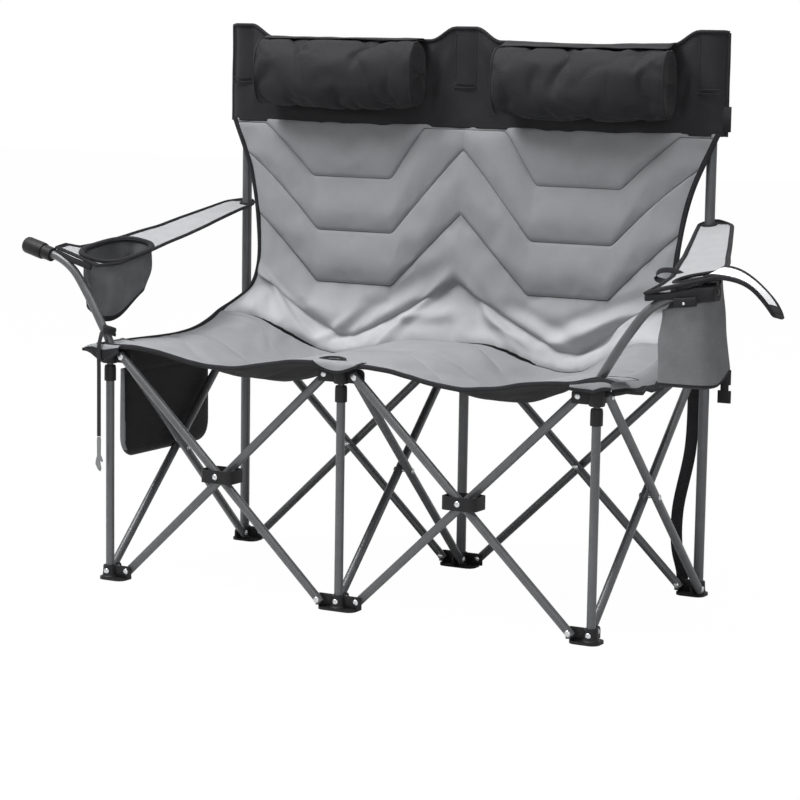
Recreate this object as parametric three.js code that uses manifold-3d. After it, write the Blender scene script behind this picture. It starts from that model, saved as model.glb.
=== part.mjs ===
// Folding two-seat camping chair: a scissor frame of steel tubes in plastic feet and hubs, a quilted
// sling with two head pillows, and slung armrests with a cup pouch on the left and a cooler on the right.
// Millimetres, +Z up. The chair faces -Y, and left and right are as seen from the front.
import * as THREE from "three";
import { mergeVertices } from "three/addons/utils/BufferGeometryUtils.js";
import Module from "manifold-3d";

const wasm = await Module();
wasm.setup();

// Frame: columns of posts across, rows of posts front to back, scissor pins set in from each post
const BAY = 500;
const PIVOT_LOW = 17;
const PIVOT_HIGH = 426;
const PIN_X = 36;
const PIN_Y = 24;
const DEPTH = BAY - 2 * (PIN_X - PIN_Y);
const SPAN = BAY - 2 * PIN_X;
const BRACE_LENGTH = Math.hypot(SPAN, PIVOT_HIGH - PIVOT_LOW);
const BRACE_LEAN = Math.atan2(SPAN, PIVOT_HIGH - PIVOT_LOW);

// Tubes and running clearances
const GAP = 0.3;
const TUBE_R = 8;
const POST_R = 9.5;
const WALL = 1.2;
const TUBE_END = 8;
const TUBE_SIDES = 10;
const POST_TOP = 1030;
const UPRIGHT_TOP = 395;
const STEM_R = 6;
const STEM_LENGTH = 242;

// Feet and hubs
const SOLE = 5;
const SOLE_OUT = 18;
const SOLE_PAST = 2;
const SOLE_CORNER = 15;
const FIN = 5;
const FIN_MARGIN = 8;
const FOOT_TOP = PIVOT_LOW + 10;
const SOCKET_R = 13;
const HUB_HALF = 13;
const PIN_R = 3;
const HEAD_R = 5.5;
const HEAD = 2;
const RIVET_SIDES = 6;
const LAYER = FIN / 2 + GAP + TUBE_R;
const PIN_REACH = LAYER + TUBE_R + GAP + HEAD / 2;
const FERRULE = { grips: 17, rises: 13, wall: 3 };
const CLIP = { width: 68, depth: 52, height: 24, wall: 3, corner: 12 };

// Arms: each leans out of its hub, bends, and ends in a grip
const ARM_BEND = { out: 104, z: 596 };
const ARM_END = { out: 194, back: 16, z: 619 };
const GRIP = { left: 16, right: 12, length: 50, over: 38 };

// Sling: the seat sags between the posts, and the back leans up to the head panel
const CLOTH = 5;
const PUFF = 9;
const SEAT_UNDER = PIVOT_HIGH + HUB_HALF + 1.6;
const HEM_Y = -DEPTH / 2 - 16;
const SPLIT_Y = -30;
const CREASE_IN = 38;
const CREASE_Y = DEPTH / 2 - CREASE_IN;
const SAG = { hem: 26, crease: 42, belly: 36 };
const SEAT_SEAM = { front: 89, rear: 115 };
const BEYOND_POST = { hem: 18, crease: -14, waist: -50, top: 20, head: 30 };
const SEAT_HALF = { hem: BAY + BEYOND_POST.hem, crease: BAY + BEYOND_POST.crease };
const SIDE_RISE = { height: 60, from: 300, start: 0 };
const BACK_TOP = 858;
const BACK_LEAN = 22;
const BACK_HALF = { top: BAY + BEYOND_POST.top, waist: BAY + BEYOND_POST.waist };
const WAIST_Z = 600;
const FLAT_HALF = 90;
const POST_FLAT = 60;
const HEAD_TOP = 1042;
const HEAD_STEP = { drop: 27, from: 20, to: 72 };
const HEAD_HALF = BAY + BEYOND_POST.head;
const HEAD_Y = DEPTH / 2 - POST_R - 2;
const POST_POCKET = { half: 16, deep: 112, wall: 4 };
const PILLOW = { x: 258, z: 950, half: 178, rise: 70, crown: 72 };

// Armrests, pouches, lid and pocket
const REST = { front: -DEPTH / 2 - 12, rear: DEPTH / 2 + 24, thick: 4, climb: 84 };
const REST_ROWS = [0, 0.07, 0.09, 0.21, 0.34, 0.5, 0.68, 1];
const REST_INNER = {
  left: [29, 9, 6, 0, -2, -3, -5, -18],
  right: [88, 92, 93, 88, 68, 44, 18, -27],
};
const REST_OUTER = {
  left: [150, 150, 104, 88, 82, 77, 70, 44],
  right: [194, 194, 194, 188, 165, 132, 98, 36],
};
const REST_LIFT = { left: 0, right: 4.5 };
const POUCH_BACK = { cup: 104, cooler: 55, mouth: 66, rimFront: 45, rimRear: 90 };
const CUP = { out: 46, y: REST.front + POUCH_BACK.cup, halfX: 42, halfY: 68, floor: 488, wall: 3 };
const COOLER = { out: 150, y: REST.front + POUCH_BACK.cooler, halfX: 46, halfY: 44.5, floor: 455, wall: 3 };
const RIM_ENDS = { front: REST.front + POUCH_BACK.rimFront, rear: REST.front + POUCH_BACK.rimRear };
const COOLER_RIM = { below: 3, ...RIM_ENDS };
const COOLER_MOUTH = { out: 150, y: REST.front + POUCH_BACK.mouth, halfX: 36, halfY: 28 };
const LID = { length: 128, width: 76, thick: 6, droop: 0.887, hingeOut: 193 };
const POCKET_IN = { front: 85, rear: 95 };
const POCKET_ENDS = { front: POCKET_IN.front - DEPTH / 2, rear: DEPTH / 2 - POCKET_IN.rear };
const POCKET = { ...POCKET_ENDS, floor: 217, mouth: 388, clear: 2, thick: 20, wall: 3 };
const POCKET_TONGUE = 90;

// Carry strap, lanyard and bottle opener
const STRAP = { width: 24, thick: 2, clear: GAP };
const STRAP_OUT = [4, 6, 3, -19, -18, -6, -4, -4];
const STRAP_NEAR = [0, 0, 0, 0, 0, 1, 3, 4];
const STRAP_Z = [434, 370, 270, 150, 80, 36, 22, SOLE + 2 * GAP];
const LANYARD = { width: 9, thick: 2, drop: 275, y: HEM_Y - 12, out: 6 };
const OPENER = { width: 17, length: 66, thick: 2.4, corner: 5, rim: 4, bite: 14 };

// The row's origin is the middle of the whole outline on the floor, between the left grip and the lid's tip
const LID_TIP = BAY + LID.hingeOut + LID.length * Math.cos(LID.droop * 0.62);
const ORIGIN_X = (LID_TIP - (BAY + ARM_END.out + GRIP.length - GRIP.over)) / 2;

const steel = { color: 0x55585b, roughness: 0.5, metalness: 0.55 };
const plastic = { color: 0x17181a, roughness: 0.55, metalness: 0 };
const bright = { color: 0xc8cacc, roughness: 0.3, metalness: 1 };
const black = { color: 0x2b2c2f, roughness: 0.9, metalness: 0 };
const grey = { color: 0x9a9b9d, roughness: 0.85, metalness: 0 };
const pale = { color: 0xc4c5c7, roughness: 0.85, metalness: 0 };
const dark = { color: 0x4c4d50, roughness: 0.9, metalness: 0 };

const chair = new THREE.Group();
chair.position.x = -ORIGIN_X;

function add(name, geometry, finish, place = {}) {
  const mesh = new THREE.Mesh(geometry, new THREE.MeshStandardMaterial(finish));
  mesh.name = name;
  if (place.position) mesh.position.set(...place.position);
  if (place.rotation) mesh.rotation.set(...place.rotation);
  if (place.along) mesh.quaternion.setFromUnitVectors(new THREE.Vector3(0, 0, 1), place.along);
  chair.add(mesh);
}

// Booleans on closed geometries
function toSolid(geometry) {
  const bare = geometry.index ? geometry.toNonIndexed() : geometry.clone();
  bare.deleteAttribute("normal");
  bare.deleteAttribute("uv");
  const merged = mergeVertices(bare, 1e-4);
  const mesh = new wasm.Mesh({
    numProp: 3,
    vertProperties: merged.attributes.position.array,
    triVerts: new Uint32Array(merged.index.array),
  });
  return new wasm.Manifold(mesh);
}

function fromSolid(solid) {
  const mesh = solid.getMesh();
  const geometry = new THREE.BufferGeometry();
  geometry.setAttribute("position", new THREE.BufferAttribute(mesh.vertProperties, 3));
  geometry.setIndex(new THREE.BufferAttribute(mesh.triVerts, 1));
  return geometry;
}

const join = (...pieces) => fromSolid(pieces.map(toSolid).reduce((sum, piece) => sum.add(piece)));

function cut(base, ...tools) {
  const left = tools.map(toSolid).reduce((rest, tool) => rest.subtract(tool), toSolid(base));
  return fromSolid(left);
}

// A round bar on the Z axis between two heights
function bar(radius, low, high, sides = TUBE_SIDES) {
  return new THREE.CylinderGeometry(radius, radius, high - low, sides)
    .rotateX(Math.PI / 2)
    .rotateZ(Math.PI / 2)
    .translate(0, 0, (low + high) / 2);
}

// A tube on the Z axis between two heights
function tube(radius, low, high) {
  const ring = new THREE.Shape().absarc(0, 0, radius, 0, 2 * Math.PI);
  ring.holes.push(new THREE.Path().absarc(0, 0, radius - WALL, 0, 2 * Math.PI, true));
  const settings = { depth: high - low, bevelEnabled: false, curveSegments: TUBE_SIDES / 2 };
  return new THREE.ExtrudeGeometry(ring, settings).translate(0, 0, low);
}

function box(x0, x1, y0, y1, z0, z1) {
  const block = new THREE.BoxGeometry(x1 - x0, y1 - y0, z1 - z0);
  return block.translate((x0 + x1) / 2, (y0 + y1) / 2, (z0 + z1) / 2);
}

// A rounded plate lying on z = low
function plate(x0, x1, y0, y1, low, high, corner) {
  const outline = new THREE.Shape();
  outline.absarc(x1 - corner, y1 - corner, corner, 0, Math.PI / 2);
  outline.absarc(x0 + corner, y1 - corner, corner, Math.PI / 2, Math.PI);
  outline.absarc(x0 + corner, y0 + corner, corner, Math.PI, 1.5 * Math.PI);
  outline.absarc(x1 - corner, y0 + corner, corner, 1.5 * Math.PI, 2 * Math.PI);
  const settings = { depth: high - low, bevelEnabled: false, curveSegments: 2 };
  return new THREE.ExtrudeGeometry(outline, settings).translate(0, 0, low);
}

// A web on a foot or hub with the riveted pin that one brace turns on, reaching out along +X
function web(offset, level, low, high, side) {
  const reach = offset + FIN_MARGIN;
  const outline = new THREE.Shape([
    new THREE.Vector2(0, low),
    new THREE.Vector2(reach, low),
    new THREE.Vector2(reach, high - FIN_MARGIN / 2),
    new THREE.Vector2(reach - FIN_MARGIN / 2, high),
    new THREE.Vector2(0, high),
  ]);
  const sheet = new THREE.ExtrudeGeometry(outline, { depth: FIN, bevelEnabled: false })
    .translate(0, 0, -FIN / 2)
    .rotateX(Math.PI / 2);
  const grip = LAYER + TUBE_R + GAP;
  const shank = bar(PIN_R, 0, grip + HEAD / 2, RIVET_SIDES);
  const head = bar(HEAD_R, grip, grip + HEAD, RIVET_SIDES);
  const pin = join(shank, head)
    .rotateX((-side * Math.PI) / 2)
    .translate(offset, 0, level);
  return join(sheet, pin);
}

// The webs of a foot or hub: one toward each neighbour across, and one inward to the other row
function webs(column, row, level, low, high, side) {
  const made = [web(PIN_Y, level, low, high, side).rotateZ(row === "front" ? Math.PI / 2 : -Math.PI / 2)];
  if (column !== "left") made.push(web(PIN_X, level, low, high, side).rotateZ(Math.PI));
  if (column !== "right") made.push(web(PIN_X, level, low, high, side));
  return made;
}

function foot(column, row) {
  const inward = row === "front" ? 1 : -1;
  const left = column === "left" ? SOLE_OUT : PIN_X + SOLE_PAST;
  const right = column === "right" ? SOLE_OUT : PIN_X + SOLE_PAST;
  const back = PIN_Y + SOLE_PAST;
  const near = inward > 0 ? -SOLE_OUT : -back;
  const far = inward > 0 ? back : SOLE_OUT;
  const sole = plate(-left, right, near, far, 0, SOLE, SOLE_CORNER);
  const socket = bar(SOCKET_R, 0, FOOT_TOP);
  const bore = bar((row === "front" ? TUBE_R : POST_R) + GAP, SOLE + 2, FOOT_TOP + 1);
  return cut(join(sole, socket, ...webs(column, row, PIVOT_LOW, SOLE / 2, FOOT_TOP, 1)), bore);
}

function hub(column, row) {
  const arms = webs(column, row, 0, -HUB_HALF, HUB_HALF, -1);
  const boss = bar(SOCKET_R + 1, -HUB_HALF - 2, HUB_HALF + 1);
  if (row === "rear") return cut(join(boss, ...arms), bar(POST_R + GAP, -HUB_HALF - 3, HUB_HALF + 2));
  const stem = bar(STEM_R, -HUB_HALF - STEM_LENGTH, 0);
  const whole = join(boss, stem, ...arms);
  return column === "middle" ? whole : cut(whole, bar(TUBE_R + 2 * GAP, -4, HUB_HALF + 2));
}

// The cap on a front upright: it grips the tube and guides the hub's stem
function ferrule() {
  const low = UPRIGHT_TOP - FERRULE.grips;
  const high = UPRIGHT_TOP + FERRULE.rises;
  const cap = bar(TUBE_R + FERRULE.wall, low, high);
  return cut(cap, bar(TUBE_R + GAP, low - 1, UPRIGHT_TOP + GAP), bar(STEM_R + GAP, UPRIGHT_TOP, high + 1));
}

// A brace drilled for its pins, at both ends and where it crosses its partner
function brace(places = [0, 0.5, 1]) {
  const drill = bar(PIN_R + 2 * GAP, -2 * TUBE_R, 2 * TUBE_R, RIVET_SIDES).rotateX(Math.PI / 2);
  const holes = places.map((share) => drill.clone().translate(0, 0, share * BRACE_LENGTH));
  return cut(tube(TUBE_R, -TUBE_END, BRACE_LENGTH + TUBE_END), ...holes);
}

// The rivet where two braces cross, with a collar that keeps them apart
function crossPin(reach) {
  const shank = bar(PIN_R, -reach, reach, RIVET_SIDES);
  const collar = bar(HEAD_R, GAP - FIN / 2, FIN / 2 - GAP, RIVET_SIDES);
  const head = bar(HEAD_R, -HEAD / 2, HEAD / 2, RIVET_SIDES);
  const heads = [-reach, reach].map((end) => head.clone().translate(0, 0, end));
  return join(shank, collar, ...heads).rotateX(Math.PI / 2);
}

// A brace that carries the rivet of its crossing, which sticks out toward its partner
function rivetedBrace(toward) {
  const rivet = crossPin(PIN_REACH).translate(0, toward * LAYER, BRACE_LENGTH / 2);
  return join(brace([0, 1]), rivet);
}

// The strap clip round a front crossing, carried by its rivet
function crossClip() {
  const { width, depth, height, wall, corner } = CLIP;
  const x = width / 2;
  const y = depth / 2;
  const outer = plate(-x, x, -y, y, -height / 2, height / 2, corner);
  const inner = plate(wall - x, x - wall, wall - y, y - wall, -height, height, corner - wall);
  return join(cut(outer, inner), crossPin(y - wall / 2));
}

const columns = { left: -BAY, middle: 0, right: BAY };
const rows = { front: -DEPTH / 2, rear: DEPTH / 2 };
const TUBE_FOOT = SOLE + 2 + GAP;

for (const [row, y] of Object.entries(rows)) {
  for (const [column, x] of Object.entries(columns)) {
    add(`${row}_${column}_foot`, foot(column, row), plastic, { position: [x, y, 0] });
    add(`${row}_${column}_hub`, hub(column, row), plastic, { position: [x, y, PIVOT_HIGH] });
    if (row === "rear") {
      add(`rear_${column}_post`, tube(POST_R, TUBE_FOOT, POST_TOP), steel, { position: [x, y, 0] });
    } else {
      const upright = tube(TUBE_R, TUBE_FOOT, UPRIGHT_TOP);
      add(`front_${column}_upright`, upright, steel, { position: [x, y, 0] });
      add(`front_${column}_ferrule`, ferrule(), plastic, { position: [x, y, 0] });
    }
  }
  // Crossed braces of each bay: the one that falls to the right lies in front
  for (const [side, x] of [["left", -BAY], ["right", 0]]) {
    const name = `${row}_${side}`;
    const rising = { position: [x + PIN_X, y + LAYER, PIVOT_LOW], rotation: [0, BRACE_LEAN, 0] };
    const falling = { position: [x + BAY - PIN_X, y - LAYER, PIVOT_LOW], rotation: [0, -BRACE_LEAN, 0] };
    const crossing = { position: [x + BAY / 2, y, (PIVOT_LOW + PIVOT_HIGH) / 2] };
    add(`${name}_brace_rising`, brace(), steel, rising);
    add(`${name}_brace_falling`, row === "front" ? brace() : rivetedBrace(1), steel, falling);
    if (row === "front") add(`${name}_cross_clip`, crossClip(), plastic, crossing);
  }
}

// Crossed braces of each column: the one that falls to the rear lies on the right
for (const [column, x] of Object.entries(columns)) {
  const front = [x - LAYER, rows.front + PIN_Y, PIVOT_LOW];
  const rear = [x + LAYER, rows.rear - PIN_Y, PIVOT_LOW];
  const rising = { position: front, rotation: [-BRACE_LEAN, 0, -Math.PI / 2] };
  const falling = { position: rear, rotation: [BRACE_LEAN, 0, -Math.PI / 2] };
  add(`${column}_side_brace_rising`, brace(), steel, rising);
  add(`${column}_side_brace_falling`, rivetedBrace(-1), steel, falling);
}

// A closed slab between two surfaces given on the same grid of columns and rows
function slab(columnCount, rowCount, upper, under) {
  const points = [];
  const index = [];
  for (const surface of [upper, under]) {
    for (let r = 0; r <= rowCount; r++) {
      for (let c = 0; c <= columnCount; c++) points.push(...surface(c, r));
    }
  }
  const layer = (columnCount + 1) * (rowCount + 1);
  const at = (c, r, side) => side * layer + r * (columnCount + 1) + c;
  const quad = (a, b, c, d) => index.push(a, b, c, a, c, d);
  for (let r = 0; r < rowCount; r++) {
    for (let c = 0; c < columnCount; c++) {
      quad(at(c, r, 0), at(c + 1, r, 0), at(c + 1, r + 1, 0), at(c, r + 1, 0));
      quad(at(c, r, 1), at(c, r + 1, 1), at(c + 1, r + 1, 1), at(c + 1, r, 1));
    }
  }
  const end = columnCount;
  const top = rowCount;
  for (let c = 0; c < end; c++) {
    quad(at(c, 0, 1), at(c + 1, 0, 1), at(c + 1, 0, 0), at(c, 0, 0));
    quad(at(c, top, 0), at(c + 1, top, 0), at(c + 1, top, 1), at(c, top, 1));
  }
  for (let r = 0; r < top; r++) {
    quad(at(0, r, 0), at(0, r + 1, 0), at(0, r + 1, 1), at(0, r, 1));
    quad(at(end, r, 1), at(end, r + 1, 1), at(end, r + 1, 0), at(end, r, 0));
  }
  const geometry = new THREE.BufferGeometry();
  geometry.setAttribute("position", new THREE.Float32BufferAttribute(points, 3));
  geometry.setIndex(index);
  return geometry;
}

const { clamp, lerp, smoothstep } = THREE.MathUtils;
const bayShare = (x) => clamp((Math.abs(x) - POST_FLAT) / (BAY - 2 * POST_FLAT), 0, 1);
const dip = (x) => Math.sin(Math.PI * bayShare(x)) ** 2;
const zigzag = (x) => Math.max(0, Math.abs(Math.abs(x) - BAY / 2) - FLAT_HALF);
const swell = (share, width) => PUFF * Math.sin(Math.PI * share) ** 0.7 * Math.min(1, width / 60);

// Quilting rows: each band between two seams has its seam and two rows that swell out
const BAND_SHARES = [0, 0.25, 0.7];
const SLING_COLUMNS = 24;
const across = (c) => (2 * c) / SLING_COLUMNS - 1;

function bandAt(row, seams) {
  const steps = BAND_SHARES.length;
  const band = Math.min(Math.floor(row / steps), seams.length - 2);
  const share = row === steps * (seams.length - 1) ? 1 : BAND_SHARES[row - band * steps];
  return { from: seams[band], to: seams[band + 1], share };
}

// Seat: two padded halves that fold down along the middle, with a chevron seam across each
function seatUnder(x, y) {
  const share = (y - HEM_Y) / (CREASE_Y - HEM_Y);
  const sag = lerp(SAG.hem, SAG.crease, share) + SAG.belly * Math.sin(Math.PI * share);
  const rise = SIDE_RISE.height * smoothstep(Math.abs(x), SIDE_RISE.from, SEAT_HALF.crease);
  const climb = clamp((y - SIDE_RISE.start) / (CREASE_Y - SIDE_RISE.start), 0, 1) ** 2;
  return SEAT_UNDER - dip(x) * sag + rise * climb;
}

const seatHalf = (y) => lerp(SEAT_HALF.hem, SEAT_HALF.crease, smoothstep(y, HEM_Y, 0));

function seat(seams) {
  const rowCount = BAND_SHARES.length * (seams.length - 1);
  const place = (c, r) => {
    const { from, to, share } = bandAt(r, seams);
    const guess = across(c) * SEAT_HALF.crease;
    const y = lerp(from(guess), to(guess), share);
    const x = across(c) * seatHalf(y);
    const edge = 1 - Math.abs(across(c)) ** 12;
    return { x, y, puff: swell(share, to(guess) - from(guess)) * edge };
  };
  const upper = (c, r) => {
    const { x, y, puff } = place(c, r);
    return [x, y, seatUnder(x, y) + CLOTH + puff];
  };
  const under = (c, r) => {
    const { x, y } = place(c, r);
    return [x, y, seatUnder(x, y)];
  };
  return slab(SLING_COLUMNS, rowCount, upper, under);
}

const seatSeam = (flat, slope, limit) => (x) => Math.min(flat + slope * zigzag(x), limit);
const armHole = bar(TUBE_R + 10 * GAP, PIVOT_HIGH, ARM_BEND.z).translate(0, rows.front, 0);
const armHoles = [-BAY, BAY].map((x) => armHole.clone().translate(x, 0, 0));
const frontSeam = seatSeam(HEM_Y + SEAT_SEAM.front, 0.75, SPLIT_Y - 8);
const rearSeam = seatSeam(CREASE_Y - SEAT_SEAM.rear, 0.75, CREASE_Y - 10);
const frontSeams = [() => HEM_Y, frontSeam, () => SPLIT_Y - GAP];
const rearSeams = [() => SPLIT_Y, rearSeam, () => CREASE_Y];
add("seat_front", cut(seat(frontSeams), ...armHoles), grey);
add("seat_rear", seat(rearSeams), grey);

// Back: padded panel with nested chevron seams, drawn in at the waist
const BACK_FLATS = [750, 645, 543, 445];
const BACK_SLOPES = [1.3, 1.05, 0.92, 0.8];
const backFoot = (x) => seatUnder(x, CREASE_Y) + CLOTH + 2;
const backSeams = [
  () => BACK_TOP,
  ...BACK_FLATS.map((flat, i) => (x) => Math.min(flat + BACK_SLOPES[i] * zigzag(x), BACK_TOP - 10)),
  backFoot,
];
const backHalf = (z) => lerp(BACK_HALF.waist, BACK_HALF.top, ((z - WAIST_Z) / (BACK_TOP - WAIST_Z)) ** 2);

function back() {
  const rowCount = BAND_SHARES.length * (backSeams.length - 1);
  const place = (c, r) => {
    const { from, to, share } = bandAt(r, backSeams);
    const level = (x) => lerp(from(x), to(x), share);
    let x = across(c) * BACK_HALF.waist;
    for (let pass = 0; pass < 4; pass++) x = across(c) * backHalf(level(x));
    const z = level(x);
    const depth = CREASE_Y + BACK_LEAN * ((z - PIVOT_HIGH) / (BACK_TOP - PIVOT_HIGH));
    const edge = 1 - Math.abs(across(c)) ** 12;
    return { x, z, depth, puff: swell(share, from(x) - to(x)) * edge };
  };
  const face = (c, r) => {
    const { x, z, depth, puff } = place(c, r);
    return [x, depth - CLOTH - puff, z];
  };
  const rear = (c, r) => {
    const { x, z, depth } = place(c, r);
    return [x, depth, z];
  };
  return slab(SLING_COLUMNS, rowCount, rear, face);
}
add("back_panel", back(), grey);

// Head panel: black cloth hung on the post tops by a stitched pocket over each
function headPanel() {
  const place = (c, r) => {
    const x = across(c) * HEAD_HALF;
    const past = Math.min(...Object.values(columns).map((post) => Math.abs(x - post)));
    const top = HEAD_TOP - HEAD_STEP.drop * smoothstep(past, HEAD_STEP.from, HEAD_STEP.to);
    return [x, lerp(BACK_TOP + 0.6, top, r / 2)];
  };
  const rear = (c, r) => {
    const [x, z] = place(c, r);
    return [x, HEAD_Y, z];
  };
  const face = (c, r) => {
    const [x, z] = place(c, r);
    return [x, HEAD_Y - CLOTH, z];
  };
  const sheet = slab(SLING_COLUMNS, 2, face, rear);
  const { half, deep, wall } = POST_POCKET;
  const behind = rows.rear + POST_R + wall;
  const pocket = box(-half, half, HEAD_Y - CLOTH / 2, behind, HEAD_TOP - deep, HEAD_TOP - 3);
  const bore = bar(POST_R + GAP, 0, POST_TOP + GAP).translate(0, rows.rear, 0);
  const places = Object.values(columns);
  const pockets = places.map((x) => pocket.clone().translate(x, 0, 0));
  const bores = places.map((x) => bore.clone().translate(x, 0, 0));
  return cut(join(sheet, ...pockets), ...bores);
}
add("head_panel", headPanel(), black);

// Head pillows: crowned in front, flat on the head panel, drawn in between their corners
function pillow(x0) {
  const columnCount = 14;
  const rowCount = 6;
  const place = (c, r) => {
    const u = (2 * c) / columnCount - 1;
    const v = (2 * r) / rowCount - 1;
    const x = x0 + PILLOW.half * Math.sin((u * Math.PI) / 2) * (1 - 0.05 * (1 - v * v));
    const z = PILLOW.z + PILLOW.rise * Math.sin((v * Math.PI) / 2) * (1 - 0.06 * (1 - u * u));
    const crown = PILLOW.crown * (1 - Math.abs(u) ** 6) ** 0.5 * (1 - v ** 4) ** 0.5;
    return { x, z, crown };
  };
  const seat0 = HEAD_Y - CLOTH - GAP;
  const rear = (c, r) => {
    const { x, z } = place(c, r);
    return [x, seat0, z];
  };
  const face = (c, r) => {
    const { x, z, crown } = place(c, r);
    return [x, seat0 - 3 - crown, z];
  };
  return slab(columnCount, rowCount, face, rear);
}
add("left_pillow", pillow(-PILLOW.x), black);
add("right_pillow", pillow(PILLOW.x), black);

// Arm tubes and grips, mirrored left and right
const mirrors = { left: -1, right: 1 };
const armPoints = [
  [0, 0, PIVOT_HIGH - 4 + GAP],
  [0, 0, PIVOT_HIGH + HUB_HALF],
  [2, 0, PIVOT_HIGH + 2 * HUB_HALF],
  [18, 0, 480],
  [56, 3, 540],
  [ARM_BEND.out - 16, 6, ARM_BEND.z - 16],
  [ARM_BEND.out + 18, 9, ARM_BEND.z + 5],
  [(ARM_BEND.out + 18 + ARM_END.out) / 2, (9 + ARM_END.back) / 2, (ARM_BEND.z + 5 + ARM_END.z) / 2],
  [ARM_END.out, ARM_END.back, ARM_END.z],
];

function armCurve(sign) {
  const place = ([out, back, z]) => new THREE.Vector3(sign * (BAY + out), rows.front + back, z);
  const points = armPoints.map(place);
  return new THREE.CatmullRomCurve3(points, false, "centripetal");
}

for (const [side, sign] of Object.entries(mirrors)) {
  const curve = armCurve(sign);
  const ring = new THREE.Shape().absarc(0, 0, TUBE_R, 0, 2 * Math.PI);
  ring.holes.push(new THREE.Path().absarc(0, 0, TUBE_R - WALL, 0, 2 * Math.PI, true));
  const settings = { steps: 15, extrudePath: curve, curveSegments: 5, bevelEnabled: false };
  add(`${side}_arm_tube`, new THREE.ExtrudeGeometry(ring, settings), steel);
  const cap = cut(bar(GRIP[side], 0, GRIP.length), bar(TUBE_R + 1, -1, GRIP.over));
  const along = curve.getTangent(1).normalize();
  const start = curve.getPoint(1).addScaledVector(along, GAP - GRIP.over);
  add(`${side}_arm_grip`, cap, plastic, { position: start.toArray(), along });
}

// Armrest: a sheet from the arm's outer end back to the rear post, which passes through its eyelet
const ARM_SLOPE = (ARM_END.z - ARM_BEND.z) / (ARM_END.out - ARM_BEND.out);
const restShare = (y) => (y - REST.front) / (REST.rear - REST.front);

function restUnder(side, out, y) {
  const front = ARM_BEND.z + TUBE_R + 1.6 + REST_LIFT[side];
  const twist = ARM_SLOPE * (out - ARM_BEND.out) * (1 - restShare(y));
  return front + twist + REST.climb * restShare(y);
}

function restSheet(side) {
  const sign = mirrors[side];
  const columnCount = 4;
  const place = (c, r) => {
    const y = lerp(REST.front, REST.rear, REST_ROWS[r]);
    return [lerp(REST_INNER[side][r], REST_OUTER[side][r], c / columnCount), y];
  };
  const surface = (lift) => (c, r) => {
    const [out, y] = place(sign > 0 ? c : columnCount - c, r);
    return [sign * (BAY + out), y, restUnder(side, out, y) + lift];
  };
  return slab(columnCount, REST_ROWS.length - 1, surface(REST.thick), surface(0));
}

const eyelet = (sign) => bar(POST_R + GAP, ARM_BEND.z, POST_TOP).translate(sign * BAY, rows.rear, 0);

// The rims of the pouches: the cup's follows its armrest, the cooler's dips under the arm tube in front
const cupRim = (out, y) => restUnder("left", out, y) - GAP;

function coolerRim(out, y) {
  const low = ARM_BEND.z - GRIP.right - COOLER_RIM.below + ARM_SLOPE * (out - ARM_BEND.out);
  return lerp(low, restUnder("right", out, y) - GAP, smoothstep(y, COOLER_RIM.front, COOLER_RIM.rear));
}

// A pouch hung under an armrest: an open bag with rounded corners that narrows to its floor
function pouch(side, bag, rim, taper, lean) {
  const sign = mirrors[side];
  const sides = 16;
  const shell = (inset, top, bottom, levels) => {
    const points = [];
    const index = [];
    for (let level = 0; level <= levels; level++) {
      const share = level / levels;
      for (let s = 0; s < sides; s++) {
        const angle = (2 * Math.PI * s) / sides;
        const round = (value) => Math.sign(value) * Math.abs(value) ** 0.55;
        const narrow = 1 - taper * share;
        const out = bag.out + round(Math.cos(angle)) * ((bag.halfX - inset) * narrow);
        const y = bag.y - lean * share + round(Math.sin(angle)) * ((bag.halfY - inset) * narrow);
        points.push(sign * (BAY + out), y, lerp(rim(out, y) + top, bottom, share));
      }
    }
    const last = levels * sides;
    for (let s = 0; s < sides; s++) {
      const next = (s + 1) % sides;
      for (let level = 0; level < levels; level++) {
        const a = level * sides + s;
        const b = level * sides + next;
        index.push(a, a + sides, b + sides, a, b + sides, b);
      }
      if (s > 1) index.push(0, s - 1, s);
      if (s > 1) index.push(last, last + s, last + s - 1);
    }
    if (sign < 0) index.reverse();
    const geometry = new THREE.BufferGeometry();
    geometry.setAttribute("position", new THREE.Float32BufferAttribute(points, 3));
    geometry.setIndex(index);
    return geometry;
  };
  return cut(shell(0, 0, bag.floor, 3), shell(bag.wall, 1, bag.floor + bag.wall, 3));
}

// The mouth that a pouch needs in its armrest
function mouth(sign, bag, margin) {
  const x = bag.halfX - margin;
  const y = bag.halfY - margin;
  const opening = plate(-x, x, -y, y, 0, POST_TOP, Math.min(x, y) * 0.65);
  return opening.translate(sign * (BAY + bag.out), bag.y, 0);
}

add("left_armrest", cut(restSheet("left"), eyelet(-1), mouth(-1, CUP, CUP.wall)), pale);
add("right_armrest", cut(restSheet("right"), eyelet(1), mouth(1, COOLER_MOUTH, 0)), pale);
add("cup_pouch", pouch("left", CUP, cupRim, 0.12, 6), dark);
add("cooler_pouch", pouch("right", COOLER, coolerRim, 0.06, 0), dark);

// Cooler lid: a padded tongue hinged at the cooler's outer edge, turned out over the arm's end
function lid() {
  const columnCount = 8;
  const rowCount = 4;
  const surface = (lift) => (c, r) => {
    const share = c / columnCount;
    const angle = -LID.droop * share;
    const narrow = 1 - 0.45 * share ** 4;
    const y = COOLER.y + LID.width * narrow * (r / rowCount - 0.5);
    const hinge = restUnder("right", LID.hingeOut, y) + REST.thick + LID.thick / 2 + 2.5 * GAP;
    const x = BAY + LID.hingeOut + LID.length * share * Math.cos(LID.droop * share * 0.62);
    const z = hinge - LID.length * share * Math.sin(LID.droop * share * 0.62);
    return [x - lift * Math.sin(angle), y, z + lift * Math.cos(angle)];
  };
  return slab(columnCount, rowCount, surface(LID.thick / 2), surface(-LID.thick / 2));
}
add("cooler_lid", lid(), dark);

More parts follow.
